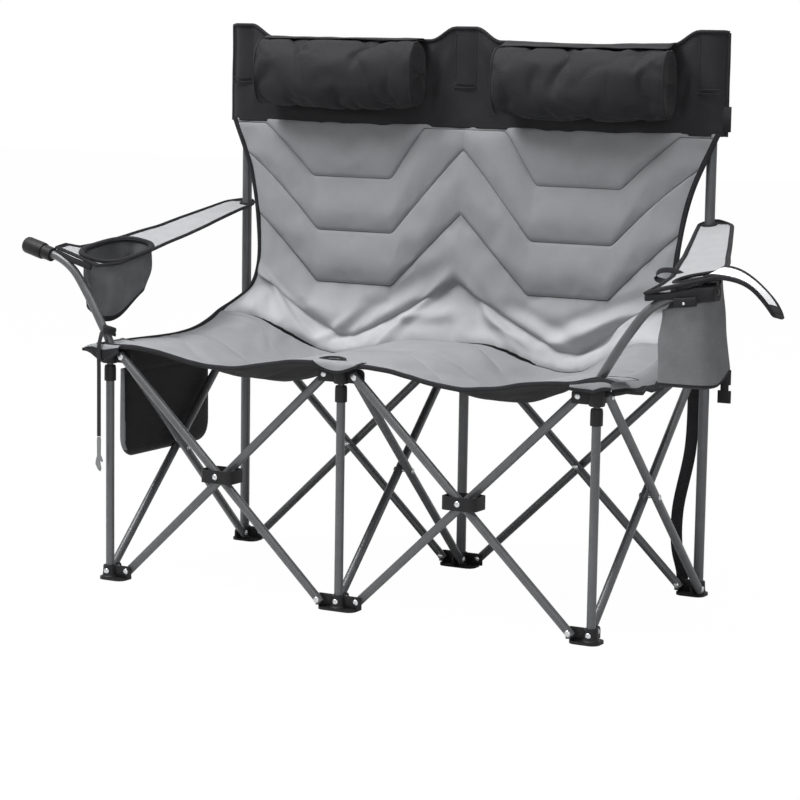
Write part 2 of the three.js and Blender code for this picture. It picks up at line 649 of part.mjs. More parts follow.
// Side pocket: hung from the left edge of the seat outside the braces, open at the top
function sidePocket() {
  const { front, rear, floor, mouth: rim, clear, thick, wall } = POCKET;
  const inner = BAY + PIN_REACH + HEAD / 2 + clear;
  const outer = inner + thick;
  const bag = box(-outer, -inner, front, rear, floor, rim);
  const inside = box(wall - outer, -inner - wall, front + wall, rear - wall, floor + wall, rim + 1);
  const top = SEAT_UNDER - GAP;
  const apron = box(-inner - wall, -inner, front, rear, rim - 1, top);
  const tongue = box(-inner - wall, -SEAT_HALF.crease + 6, front + POCKET_TONGUE, rear, top - wall, top);
  return join(cut(bag, inside), apron, tongue);
}
add("side_pocket", sidePocket(), black);

// Carry strap: webbing that hangs behind the frame from the right rear hub to its foot
const strapY = rows.rear + PIN_REACH + HEAD / 2 + STRAP.clear + STRAP.thick / 2;
const strapPoints = STRAP_Z.map((z, i) => [BAY - PIN_X + STRAP_OUT[i], strapY - STRAP_NEAR[i], z]);

function ribbon(points, settings, across, through) {
  const route = new THREE.CatmullRomCurve3(points.map((p) => new THREE.Vector3(...p)));
  const section = new THREE.Shape().absellipse(0, 0, across / 2, through / 2, 0, 2 * Math.PI);
  const sweep = { extrudePath: route, curveSegments: 4, bevelEnabled: false, ...settings };
  return new THREE.ExtrudeGeometry(section, sweep);
}
add("carry_strap", ribbon(strapPoints, { steps: 18 }, STRAP.thick, STRAP.width), black);

// Lanyard: webbing from the left arm tube over the seat's corner, with a bottle opener on its end
const lanyardX = -(BAY + LANYARD.out);
const lanyardPoints = [
  [-(BAY + 2 * LANYARD.out), rows.front - TUBE_R - 3 * GAP, 470],
  [lanyardX, HEM_Y - 6, 462],
  [lanyardX, LANYARD.y, 445],
  [lanyardX, LANYARD.y, 400],
  [lanyardX, LANYARD.y, LANYARD.drop],
];

add("lanyard", ribbon(lanyardPoints, { steps: 12 }, LANYARD.width, LANYARD.thick), black);

function opener() {
  const { width, length, thick, corner, rim, bite } = OPENER;
  const x = width / 2;
  const blade = plate(-x, x, -length, 0, -thick / 2, thick / 2, corner);
  const low = 2 * rim - length;
  const hole = plate(rim - x, x - rim, low, low + bite, -thick, thick, corner - 2);
  return cut(blade, hole).rotateX(Math.PI / 2);
}
add("bottle_opener", opener(), bright, { position: [lanyardX, LANYARD.y, LANYARD.drop - 3 * GAP] });

export default chair;
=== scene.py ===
import math
import bpy
import bmesh
from mathutils import Matrix, Vector, noise


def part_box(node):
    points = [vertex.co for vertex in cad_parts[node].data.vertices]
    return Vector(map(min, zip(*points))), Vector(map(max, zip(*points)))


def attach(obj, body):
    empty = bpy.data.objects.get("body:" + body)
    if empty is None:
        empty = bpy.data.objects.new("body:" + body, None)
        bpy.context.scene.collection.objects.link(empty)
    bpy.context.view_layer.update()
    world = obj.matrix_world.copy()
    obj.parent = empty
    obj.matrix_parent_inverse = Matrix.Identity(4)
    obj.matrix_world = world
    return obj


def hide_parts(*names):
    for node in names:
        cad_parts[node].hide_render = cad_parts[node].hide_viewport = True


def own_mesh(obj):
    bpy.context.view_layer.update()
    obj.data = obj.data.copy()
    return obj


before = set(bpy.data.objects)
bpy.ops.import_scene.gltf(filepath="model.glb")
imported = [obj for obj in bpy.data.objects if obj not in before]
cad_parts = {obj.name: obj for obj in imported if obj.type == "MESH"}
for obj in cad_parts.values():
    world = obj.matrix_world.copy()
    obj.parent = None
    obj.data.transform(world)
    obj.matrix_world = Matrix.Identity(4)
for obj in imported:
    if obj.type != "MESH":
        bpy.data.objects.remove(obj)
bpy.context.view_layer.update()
scene = bpy.context.scene


# Camera. It stands a little above the seat and to the chair's right, with a long lens, so the
# whole chair fills the square picture.
post_low, post_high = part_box("rear_middle_post")
middle_x = (post_low[0] + post_high[0]) / 2


def at(x, y, z):
    """A point of the chair, in millimetres from the middle posts, the middle row and the floor."""
    return Vector((x / 1000 + middle_x, y / 1000, z / 1000))


camera = bpy.data.objects.new("camera", bpy.data.cameras.new("camera"))
camera.data.lens = 118.44
camera.data.sensor_width = 36.0
camera_turn = (
    Matrix.Rotation(math.radians(28.785), 4, "Z")
    @ Matrix.Rotation(math.radians(82.047), 4, "X")
    @ Matrix.Rotation(math.radians(0.9105), 4, "Z")
)
camera.matrix_world = Matrix.Translation(at(2329.96, -4260.41, 1032.39)) @ camera_turn
scene.collection.objects.link(camera)
scene.camera = camera


# Lanyard. Black narrow webbing, tied round the foot of the left arm tube, that hangs over the
# seat's corner and carries a bottle opener on a stitched end.
FRONT, REAR = -238, 238
ACROSS, BACK, UP = Vector((1, 0, 0)), Vector((0, 1, 0)), Vector((0, 0, 1))
CURVE_STEPS, KNOT_STEPS = 24, 24
LANYARD_WIDE, KNOT_WIDE, TAPE_THICK = 0.009, 0.008, 0.002


def smooth_route(points, steps):
    """Centripetal curve through the points, cut into equal steps."""
    ends = [2 * points[0] - points[1], *points, 2 * points[-1] - points[-2]]
    dense = []
    for a, b, c, d in zip(ends, ends[1:], ends[2:], ends[3:]):
        ta = 0.0
        tb = ta + math.sqrt((b - a).length)
        tc = tb + math.sqrt((c - b).length)
        td = tc + math.sqrt((d - c).length)
        for k in range(CURVE_STEPS):
            t = tb + (tc - tb) * k / CURVE_STEPS
            ab = a.lerp(b, (t - ta) / (tb - ta))
            bc = b.lerp(c, (t - tb) / (tc - tb))
            cd = c.lerp(d, (t - tc) / (td - tc))
            abc = ab.lerp(bc, (t - ta) / (tc - ta))
            bcd = bc.lerp(cd, (t - tb) / (td - tb))
            dense.append(abc.lerp(bcd, (t - tb) / (tc - tb)))
    dense.append(points[-1])
    travel = [0.0]
    for a, b in zip(dense, dense[1:]):
        travel.append(travel[-1] + (b - a).length)
    route = []
    k = 0
    for step in range(steps + 1):
        goal = travel[-1] * step / steps
        while k < len(dense) - 2 and travel[k + 1] < goal:
            k += 1
        share = (goal - travel[k]) / max(travel[k + 1] - travel[k], 1e-9)
        route.append(dense[k].lerp(dense[k + 1], min(max(share, 0.0), 1.0)))
    return route


def surface(mesh, columns, rows, place, uv=None, paint=None):
    """A grid of cloth whose crossings lie where place(column, row) says."""
    made = bmesh.ops.create_grid(mesh, x_segments=columns, y_segments=rows, size=0.5)
    keys = {}
    for vert in made["verts"]:
        key = (round((vert.co.x + 0.5) * columns), round((vert.co.y + 0.5) * rows))
        keys[vert] = key
        vert.co = place(*key)
    layer = mesh.loops.layers.uv.verify() if uv else None
    for face in {f for v in made["verts"] for f in v.link_faces}:
        if paint:
            face.material_index = paint(*[min(keys[v][i] for v in face.verts) for i in (0, 1)])
        if uv:
            for loop in face.loops:
                loop[layer].uv = uv(*keys[loop.vert])
    return made["verts"]


def band(mesh, route, across, wide, thick, sides=12):
    """Webbing, piping or tube of oval section along a route, its width lying along across."""
    rings = []
    for k, point in enumerate(route):
        ahead = (route[min(k + 1, len(route) - 1)] - route[max(k - 1, 0)]).normalized()
        flat = (across - ahead * across.dot(ahead)).normalized()
        rings.append((point, flat, ahead.cross(flat)))

    def place(c, r):
        point, flat, proud = rings[r]
        angle = 2 * math.pi * c / sides
        return point + flat * (math.cos(angle) * wide / 2) + proud * (math.sin(angle) * thick / 2)

    verts = surface(mesh, sides, len(route) - 1, place)
    bmesh.ops.remove_doubles(mesh, verts=verts, dist=1e-6)
    bmesh.ops.holes_fill(mesh, edges=[e for e in mesh.edges if e.is_boundary], sides=sides)


def piece(name, mesh, materials, body, nodes=(), sharp=35.0, sheet=False):
    """Turns a mesh into a finished piece of the chair that rides on one of its bodies."""
    if not sheet:
        bmesh.ops.recalc_face_normals(mesh, faces=mesh.faces)
    data = bpy.data.meshes.new(name)
    mesh.to_mesh(data)
    mesh.free()
    data.shade_smooth()
    if sharp:
        data.set_sharp_from_angle(angle=math.radians(sharp))
    obj = bpy.data.objects.new(name, data)
    scene.collection.objects.link(obj)
    for material in materials:
        data.materials.append(material)
    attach(obj, body)
    if nodes:
        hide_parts(*nodes)
    return obj


def banded(name, strips, material, body, nodes=()):
    """A piece made of bands alone: each strip gives a route, its direction, width and thickness."""
    mesh = bmesh.new()
    for strip in strips:
        band(mesh, *strip)
    return piece(name, mesh, [material], body, nodes)


def feed(tree, made, inputs):
    """Sets inputs of a shader node, each to a value or to another node's output."""
    for key, value in inputs.items():
        if isinstance(value, bpy.types.NodeSocket):
            tree.links.new(value, made.inputs[key])
        else:
            made.inputs[key].default_value = value


def node(tree, kind, output, inputs, **settings):
    """Adds a shader node and gives back one of its outputs."""
    made = tree.nodes.new("ShaderNode" + kind)
    for key, value in settings.items():
        setattr(made, key, value)
    feed(tree, made, inputs)
    return made.outputs[output]


def toned(tree, factor, stops):
    """A colour that runs between two stops, each a position and a colour."""
    made = tree.nodes.new("ShaderNodeValToRGB")
    for element, (position, colour) in zip(made.color_ramp.elements, stops):
        element.position = position
        element.color = (*colour, 1)
    feed(tree, made, {"Fac": factor})
    return made.outputs["Color"]


def new_material(name):
    material = bpy.data.materials.new(name)
    material.use_nodes = True
    return material, material.node_tree, material.node_tree.nodes["Principled BSDF"]


def woven(
    name, colour, spread=0.16, pitch=0.0015, proud=0.0003, sheen=0.03, uv=None, painted_light_low=None, gloss=(0.88, 0.12)
):
    """Woven polyester: a mottled colour, crossing threads and fine fuzz, and painted light that makes it
    paler low down where asked.
    """
    material, tree, shader = new_material(name)
    spot = node(tree, "TexCoord", "Object", {})
    lay = node(tree, "UVMap", "UV", {}, uv_map=uv) if uv else spot
    blotch = node(tree, "TexNoise", "Fac", {"Vector": spot, "Scale": 26.0, "Detail": 5.0, "Roughness": 0.7})
    slub = node(tree, "TexNoise", "Fac", {"Vector": lay, "Scale": 520.0, "Detail": 2.0})
    both = node(tree, "Math", "Value", {0: slub, 1: 0.55, 2: blotch}, operation="MULTIPLY_ADD")
    low = [c * (1 - spread) for c in colour]
    high = [min(c * (1 + spread), 1) for c in colour]
    base = toned(tree, both, ((0.45, low), (1.05, high)))
    # Painted light: below the first height the colour is brightened by the given factor, easing back to its
    # own colour at the second height.
    if painted_light_low:
        height = node(tree, "SeparateXYZ", "Z", {"Vector": spot})
        limits = {"From Min": painted_light_low[0], "From Max": painted_light_low[1], "To Min": painted_light_low[2], "To Max": 1.0}
        fade = node(tree, "MapRange", "Result", {"Value": height, **limits}, interpolation_type="SMOOTHSTEP")
        base = node(tree, "VectorMath", "Vector", {"Vector": base, "Scale": fade}, operation="SCALE")
    threads = {}
    for k, turn in enumerate((0.0, 90.0)):
        tilt = (0.0, 0.0, turn) if uv else (31.0, 24.0, turn + 12.0)
        lean = [math.radians(angle) for angle in tilt]
        thread = node(tree, "Mapping", "Vector", {"Vector": lay, "Rotation": lean})
        weave = {"Vector": thread, "Scale": math.pi / (10 * pitch), "Distortion": 0.6, "Detail": 1.0}
        threads[k] = node(tree, "TexWave", "Fac", weave, bands_direction="X")
    cross = node(tree, "Math", "Value", threads, operation="ADD")
    fuzz = node(tree, "Math", "Value", {0: slub, 1: 0.8, 2: cross}, operation="MULTIPLY_ADD")
    relief = node(tree, "Bump", "Normal", {"Height": fuzz, "Strength": 0.5, "Distance": proud})
    feed(tree, shader, {"Base Color": base, "Normal": relief, "Roughness": gloss[0]})
    feed(tree, shader, {"Specular IOR Level": gloss[1], "Sheen Weight": sheen, "Sheen Roughness": 0.45})
    return material


webbing_black = woven("webbing_black", (0.022, 0.022, 0.024), spread=0.3, pitch=0.0022, proud=0.0005)
lanyard_points = [
    at(-512, -246.9, 470), at(-506, -260, 462), at(-506, -266, 445), at(-506, -266, 400), at(-506, -266, 275)
]
lanyard_route = smooth_route(lanyard_points, 30)
lanyard_strip = (lanyard_route, ACROSS, LANYARD_WIDE, TAPE_THICK)
lanyard = banded("lanyard_webbing", [lanyard_strip], webbing_black, "front_left_hub", nodes=["lanyard"])
knot = []
for k in range(KNOT_STEPS + 1):
    angle = 2 * math.pi * k / KNOT_STEPS
    knot.append(at(
        -502 - 11.5 * math.cos(angle), FRONT - 11.5 * math.sin(angle), 468 + 4 * math.sin(angle + 0.5)
    ))
second_turn = [p + Vector((0.001, -0.0004, 0.008)) for p in knot]
second_way = Vector((0, 0.2, 1))
knot_strips = [(knot, UP, KNOT_WIDE, TAPE_THICK), (second_turn, second_way, KNOT_WIDE, TAPE_THICK)]
lanyard_knot = banded("lanyard_knot", knot_strips, webbing_black, "front_left_hub")


# Bottle opener. Stamped steel, key shaped: a narrow blade with a hooked and forked lower end, hung
# from the lanyard's end.
def speckled(name, colour, marks, tones, gloss, relief, grain=None, **looks):
    """Metal, paint or plastic: marks that shift its colour and gloss, and a fine grain that stands proud."""
    material, tree, shader = new_material(name)
    spot = node(tree, "TexCoord", "Object", {})
    blotch = node(tree, "TexNoise", "Fac", {"Vector": spot, "Scale": marks[0], "Detail": marks[1]})
    base = toned(tree, blotch, [(position, [c * share for c in colour]) for position, share in tones])
    rough = node(tree, "MapRange", "Result", {"Value": blotch, "To Min": gloss[0], "To Max": gloss[1]})
    fine = node(tree, "TexNoise", "Fac", {"Vector": spot, "Scale": grain, "Detail": 2.0}) if grain else blotch
    proud = node(tree, "Bump", "Normal", {"Height": fine, "Strength": relief[0], "Distance": relief[1]})
    feed(tree, shader, {"Base Color": base, "Roughness": rough, "Normal": proud})
    for key, value in looks.items():
        shader.inputs[{"metallic": "Metallic", "specular": "Specular IOR Level"}[key]].default_value = value
    return material


steel_marks = {
    "marks": (900.0, 4.0), "tones": ((0.3, 0.82), (0.8, 1.0)), "relief": (0.3, 0.00005),
    "metallic": 1.0,
}
bright_steel = speckled("bright_steel", (0.5, 0.51, 0.52), gloss=(0.24, 0.39), **steel_marks)
tool_steel = speckled("tool_steel", (0.2, 0.205, 0.21), gloss=(0.28, 0.455), **steel_marks)


def rounded(mesh, edges, width, steps):
    """Rounds some of a mesh's edges off."""
    return bmesh.ops.bevel(
        mesh, geom=edges, offset=width, offset_type="OFFSET",
        segments=steps, profile=0.5, affect="EDGES", material=-1,
    )


def rounded_plate(mesh, low, high, corner, steps=6, edge=0.0):
    """A plate between two corners, its upright edges rounded and its rims eased."""
    made = bmesh.ops.create_cube(mesh, size=1.0)
    size = high - low
    middle = (low + high) / 2
    for vert in made["verts"]:
        vert.co = Vector([middle[i] + vert.co[i] * size[i] for i in range(3)])
    faces = {f for v in made["verts"] for f in v.link_faces}
    uprights = {e for f in faces for e in f.edges if abs(e.verts[0].co.z - e.verts[1].co.z) > size.z / 2}
    done = rounded(mesh, list(uprights), corner, steps)
    if edge:
        own = [f for f in mesh.faces if f.is_valid and (f in faces or f in done["faces"])]
        rounded(mesh, list({e for f in own if abs(f.normal.z) > 0.9 for e in f.edges}), edge, 2)


def eased(obj, width):
    """Takes the sharpness off a piece's edges."""
    made = obj.modifiers.new("eased edge", "BEVEL")
    made.width = width
    made.segments = 2


opener_mesh = bmesh.new()
opener_outline = [
    (-3.2, 0), (3.2, 0), (4.2, -6), (3.8, -34), (8.4, -43), (8.4, -47), (2.6, -46), (3.4, -52), (5.2, -60),
    (3, -65.5), (-2, -62), (-7.6, -52), (-6.6, -44), (-4, -36), (-4.2, -6),
]
opener_mesh.faces.new([opener_mesh.verts.new((x / 1000, -0.0011, z / 1000)) for x, z in opener_outline])
thick = bmesh.ops.extrude_face_region(opener_mesh, geom=opener_mesh.faces[:])
rear_face = [v for v in thick["geom"] if isinstance(v, bmesh.types.BMVert)]
bmesh.ops.translate(opener_mesh, vec=(0, 0.0022, 0), verts=rear_face)
bmesh.ops.translate(opener_mesh, vec=at(-506, -266, 274.1), verts=opener_mesh.verts)
opener = piece("opener_blade", opener_mesh, [tool_steel], "bottle_opener", ["bottle_opener"])
eased(opener, 0.0004)


# Carry strap. Black webbing that hangs slack behind the right rear leg, from the hub's buckle
# down to the foot, where its end is sewn on.
STRAP_WIDE = 0.024
strap_points = [
    at(468, 260.4, 434), at(470, 260.4, 370), at(467, 260.4, 270), at(445, 260.4, 150),
    at(446, 260.4, 80), at(458, 259.4, 36), at(460, 257.4, 22), at(460, 256.4, 5.6),
]
strap_route = smooth_route(strap_points, 40)
strap_strip = (strap_route, ACROSS, STRAP_WIDE, TAPE_THICK)
strap = banded("carry_strap_webbing", [strap_strip], webbing_black, "rear_right_foot", nodes=["carry_strap"])


# Studio. A white floor that keeps the chair's soft shadow, a white surround, one large lamp from
# the front left, one overhead and a weak one from the right.
floor_mesh = bmesh.new()
bmesh.ops.create_grid(floor_mesh, x_segments=2, y_segments=2, size=14.0)
floor_data = bpy.data.meshes.new("floor")
floor_mesh.to_mesh(floor_data)
floor_mesh.free()
floor = bpy.data.objects.new("floor", floor_data)
scene.collection.objects.link(floor)
floor_paint, tree, shader = new_material("floor_paint")
feed(tree, shader, {"Base Color": (0.93, 0.93, 0.93, 1), "Roughness": 0.95})
floor_seen = node(tree, "LightPath", "Is Camera Ray", {})
floor_part = node(tree, "Math", "Value", {0: floor_seen, 1: 0.985}, operation="MULTIPLY")
floor_white = node(tree, "Emission", "Emission", {})
floor_mix = node(tree, "MixShader", "Shader", {"Fac": floor_part, 1: shader.outputs["BSDF"], 2: floor_white})
feed(tree, tree.nodes["Material Output"], {"Surface": floor_mix})
floor_data.materials.append(floor_paint)
scene.view_settings.view_transform = "Standard"

world = bpy.data.worlds.new("studio")
scene.world = world
world.use_nodes = True
world_nodes = world.node_tree.nodes
world_link = world.node_tree.links.new
seen = world_nodes.new("ShaderNodeLightPath")
seen_white = world_nodes.new("ShaderNodeMath")
seen_white.operation = "MAXIMUM"
world_link(seen.outputs["Is Camera Ray"], seen_white.inputs[0])
world_link(seen.outputs["Is Glossy Ray"], seen_white.inputs[1])
room = world_nodes["Background"]
room.inputs["Color"].default_value = (1, 1, 1, 1)
room.inputs["Strength"].default_value = 0.3
backdrop = world_nodes.new("ShaderNodeBackground")
backdrop.inputs["Color"].default_value = (1, 1, 1, 1)
backdrop.inputs["Strength"].default_value = 1.0
choose = world_nodes.new("ShaderNodeMixShader")
world_link(seen_white.outputs["Value"], choose.inputs["Fac"])
world_link(room.outputs["Background"], choose.inputs[1])
world_link(backdrop.outputs["Background"], choose.inputs[2])
world_link(choose.outputs["Shader"], world_nodes["World Output"].inputs["Surface"])


def lamp(name, stand, aim, power, size):
    """A square soft lamp that looks at a point."""
    light = bpy.data.lights.new(name, "AREA")
    light.energy = power
    light.size = size
    obj = bpy.data.objects.new(name, light)
    obj.location = stand
    obj.rotation_euler = (Vector(aim) - Vector(stand)).to_track_quat("-Z", "Y").to_euler()
    scene.collection.objects.link(obj)


lamp("key_lamp", (-1.5, -1.3, 3.6), (0, 0, 0.5), 165.0, 1.6)
lamp("top_lamp", (0.9, -0.3, 3.3), (0.3, 0.0, 0.4), 60.0, 1.8)
lamp("fill_lamp", (2.6, -3.6, 2.0), (0, 0, 0.5), 30.0, 2.5)


# Rear posts and front uprights. Steel tube with a charcoal powder coat, open at the top, pressed
# into the feet.
frame_coat = speckled(
    "frame_coat", (0.068, 0.07, 0.074), marks=(38.0, 6.0), tones=((0.35, 0.9), (0.75, 1.12)),
    gloss=(0.3, 0.42), relief=(0.25, 0.0001), grain=700.0, metallic=0.1, specular=0.5,
)


def turned(mesh, profile, place, steps=28, material=0):
    """A round piece: a profile of (radius, height) in millimetres spun round its own axis."""
    verts = [mesh.verts.new((r / 1000, 0, h / 1000)) for r, h in profile]
    edges = [mesh.edges.new(pair) for pair in zip(verts, verts[1:])]
    before = set(mesh.faces)
    bmesh.ops.spin(
        mesh, geom=verts + edges, cent=(0, 0, 0), axis=(0, 0, 1), dvec=(0, 0, 0),
        angle=2 * math.pi, steps=steps, use_merge=True, use_duplicate=False,
    )
    spun = {v for f in mesh.faces if f not in before for v in f.verts}
    bmesh.ops.remove_doubles(mesh, verts=list(spun), dist=2e-5)
    faces = [f for f in mesh.faces if f not in before]
    for face in faces:
        face.material_index = material
    bmesh.ops.transform(mesh, matrix=place, verts=list({v for f in faces for v in f.verts}))


def along(start, end):
    """The placing of a round piece whose axis runs from start to end."""
    turn = (end - start).to_track_quat("Z", "Y").to_matrix().to_4x4()
    return Matrix.Translation(start) @ turn


BAY = 500
columns = {"left": -BAY, "middle": 0, "right": BAY}
row_y = {"front": FRONT, "rear": REAR}
TUBE_FOOT, TUBE_WALL, TUBE_RIM = 9.3, 1.2, 0.4


def leg_body(row, column):
    return "rear_middle" if (row, column) == ("rear", "middle") else f"{row}_{column}_foot"


for column, x in columns.items():
    for row, kind, radius, length in (("rear", "post", 9.5, 1020.7), ("front", "upright", 8, 385.7)):
        bore, rim = radius - TUBE_WALL, radius - TUBE_RIM
        tube = [
            (bore, 0), (rim, 0), (radius, TUBE_RIM), (radius, length - TUBE_RIM), (rim, length),
            (bore, length), (bore, 0),
        ]
        mesh = bmesh.new()
        turned(mesh, tube, Matrix.Translation(at(x, row_y[row], TUBE_FOOT)))
        leg = f"{row}_{column}_{kind}"
        piece(f"{leg}_tube", mesh, [frame_coat], leg_body(row, column), [leg])


# Feet. Black moulded nylon: a rounded sole, a socket for the leg and webs that the braces are
# riveted to, with domed steel rivets.
black_nylon = speckled(
    "black_nylon", (0.009, 0.009, 0.01), marks=(60.0, 5.0), tones=((0.4, 0.85), (0.8, 1.3)),
    gloss=(0.425, 0.6), relief=(0.35, 0.00015), grain=1100.0, specular=0.2,
)
PIN_ACROSS, PIN_INWARD = 36, 24
PIN_LOW, PIN_HIGH = 17, 426
SOLE_OUTWARD, SOLE_ACROSS, SOLE_INWARD, SOLE_THICK = 18, 38, 26, 5
WEB_THICK, WEB_ROUND = 0.005, 0.009
RIVET_HEAD = [(0, 2.5), (2.2, 2.3), (4.2, 1.5), (5.5, 0.2), (5.5, 0), (0, 0)]


def rivet(mesh, start, end):
    """A domed steel rivet head that stands on start and faces end."""
    turned(mesh, RIVET_HEAD, along(start, end), steps=14, material=1)


def web_and_rivet(mesh, base, angle, reach, level, low, high, side):
    """One web of a foot or hub, reaching out at an angle, with the rivet that holds its brace."""
    turn = Matrix.Translation(base) @ Matrix.Rotation(angle, 4, "Z")
    web = bmesh.new()
    for vert in bmesh.ops.create_cube(web, size=1.0)["verts"]:
        out = 5 + (vert.co.x + 0.5) * (reach + 6)
        vert.co = Vector((out / 1000, vert.co.y * WEB_THICK, (low + (vert.co.z + 0.5) * (high - low)) / 1000))
    tip = [e for e in web.edges if all(v.co.x > reach / 1000 and v.co.z > level / 1000 for v in e.verts)]
    rounded(web, tip, WEB_ROUND, 6)
    rounded(web, web.edges[:], 0.0008, 2)
    web.transform(turn)
    copy = bpy.data.meshes.new("web")
    web.to_mesh(copy)
    web.free()
    mesh.from_mesh(copy)
    bpy.data.meshes.remove(copy)
    for start, facing in ((19.0, side), (2.4, -side)):
        head, out = [
            turn @ Vector((reach / 1000, facing * aside / 1000, level / 1000)) for aside in (start, start + 1)
        ]
        rivet(mesh, head, out)


def web_angles(column, row):
    """Directions and reaches of the webs: inward to the other row, and to each neighbour."""
    webs = [(math.pi / 2 if row == "front" else -math.pi / 2, PIN_INWARD)]
    if column != "left":
        webs.append((math.pi, PIN_ACROSS))
    if column != "right":
        webs.append((0.0, PIN_ACROSS))
    return webs


for row, y in row_y.items():
    for column, x in columns.items():
        mesh = bmesh.new()
        left = SOLE_OUTWARD if column == "left" else SOLE_ACROSS
        right = SOLE_OUTWARD if column == "right" else SOLE_ACROSS
        near, far = (SOLE_OUTWARD, SOLE_INWARD) if row == "front" else (SOLE_INWARD, SOLE_OUTWARD)
        low, high = at(x - left, y - near, 0), at(x + right, y + far, SOLE_THICK)
        rounded_plate(mesh, low, high, 0.015, steps=8, edge=0.002)
        bore = 8.2 if row == "front" else 9.7
        socket = [
            (17, 3), (16.6, 5.6), (14.8, 7), (13.8, 9.5), (13.3, 18), (13, 25), (12.4, 26.6), (11.4, 27),
            (bore + 0.4, 27), (bore, 26.4), (bore, 7),
        ]
        turned(mesh, socket, Matrix.Translation(at(x, y, 0)))
        for angle, reach in web_angles(column, row):
            web_and_rivet(mesh, at(x, y, 0), angle, reach, PIN_LOW, 4, 27, 1)
        outside = Vector((0, -0.001 if row == "front" else 0.001, 0))
        rivet(mesh, at(x, y, 16) + outside * 12.6, at(x, y, 16) + outside * 14)
        name = f"{row}_{column}"
        shoe_looks = [black_nylon, bright_steel]
        piece(f"{name}_shoe", mesh, shoe_looks, leg_body(row, column), [f"{name}_foot"])


# Hubs. Black moulded nylon bosses that carry the upper brace ends. The front ones stand on steel
# stems that slide inside the uprights, and the rear ones slide on the posts.
for row, y in row_y.items():
    for column, x in columns.items():
        mesh = bmesh.new()
        centre = at(x, y, PIN_HIGH)
        place = Matrix.Translation(centre)
        if row == "rear":
            boss = [
                (9.8, -15), (13.4, -15), (14.2, -14), (14, 10), (13.4, 13), (12.4, 14), (9.8, 14), (9.8, -15),
            ]
        else:
            boss = [
                (0, -15), (11.5, -15), (13.4, -14.2), (14.2, -12), (14, 10), (13.2, 13), (11.6, 14), (0, 14),
            ]
        turned(mesh, boss, place)
        if row == "front":
            stem = [(0, -254), (5.2, -254), (6, -253), (6, -14), (0, -14)]
            turned(mesh, stem, place, steps=20, material=2)
        for angle, reach in web_angles(column, row):
            web_and_rivet(mesh, centre, angle, reach, 0, -13, 13, -1)
        hub = f"{row}_{column}_hub"
        piece(f"{hub}_moulding", mesh, [black_nylon, bright_steel, frame_coat], hub, [hub])


# Ferrules. Black moulded caps pressed on the tops of the front uprights, with a narrower mouth that
# guides each stem.
for column, x in columns.items():
    mesh = bmesh.new()
    cap = [
        (8.1, 378), (10.4, 378), (11, 378.6), (11, 400), (10.6, 405), (9.4, 407.6), (6.4, 408), (6.4, 396),
        (8.1, 395), (8.1, 378),
    ]
    turned(mesh, cap, Matrix.Translation(at(x, FRONT, 0)))
    ferrule = f"front_{column}_ferrule"
    piece(f"{ferrule}_cap", mesh, [black_nylon], f"front_{column}_foot", [ferrule])


# Braces. Round steel tube with closed ends, crossed in pairs and riveted to the feet and hubs at
# their ends. The rear and side pairs have a rivet at their crossing.
LAYER = 10.8
RIVET_NEAR, RIVET_FAR = 0.0079, 0.0295
PIN_RADIUS = 3


def cross_pin(mesh, start, end, length):
    """The steel shank of a rivet, from start towards end."""
    shank = [(0, 0), (PIN_RADIUS, 0), (PIN_RADIUS, length), (0, length)]
    turned(mesh, shank, along(start, end), steps=12, material=1)


def brace_piece(pair, way, low, high, toward=None):
    """One brace between its two pin centres, with the crossing rivet where it carries one."""
    length = (high - low).length * 1000
    mesh = bmesh.new()
    rod = [(0, -8), (6.4, -8), (7.6, -7.4), (8, -6)]
    rod += [(radius, length - height) for radius, height in reversed(rod)]
    turned(mesh, rod, along(low, high), steps=24)
    if toward:
        middle = (low + high) / 2
        rivet(mesh, middle - toward * RIVET_NEAR, middle - toward)
        rivet(mesh, middle + toward * RIVET_FAR, middle + toward)
        cross_pin(mesh, middle, middle + toward, 30)
    brace = f"{pair}_brace_{way}"
    piece(f"{brace}_tube", mesh, [frame_coat, bright_steel], f"{pair}_{way}", [brace])


for row, y in row_y.items():
    for side, x in (("left", -BAY), ("right", 0)):
        pair = f"{row}_{side}"
        ends = x + PIN_ACROSS, x + BAY - PIN_ACROSS
        brace_piece(pair, "rising", at(ends[0], y + LAYER, PIN_LOW), at(ends[1], y + LAYER, PIN_HIGH))
        low, high = at(ends[1], y - LAYER, PIN_LOW), at(ends[0], y - LAYER, PIN_HIGH)
        brace_piece(pair, "falling", low, high, BACK if row == "rear" else None)
for column, x in columns.items():
    pair = f"{column}_side"
    ends = FRONT + PIN_INWARD, REAR - PIN_INWARD
    brace_piece(pair, "rising", at(x - LAYER, ends[0], PIN_LOW), at(x - LAYER, ends[1], PIN_HIGH))
    brace_piece(pair, "falling", at(x + LAYER, ends[1], PIN_LOW), at(x + LAYER, ends[0], PIN_HIGH), -ACROSS)


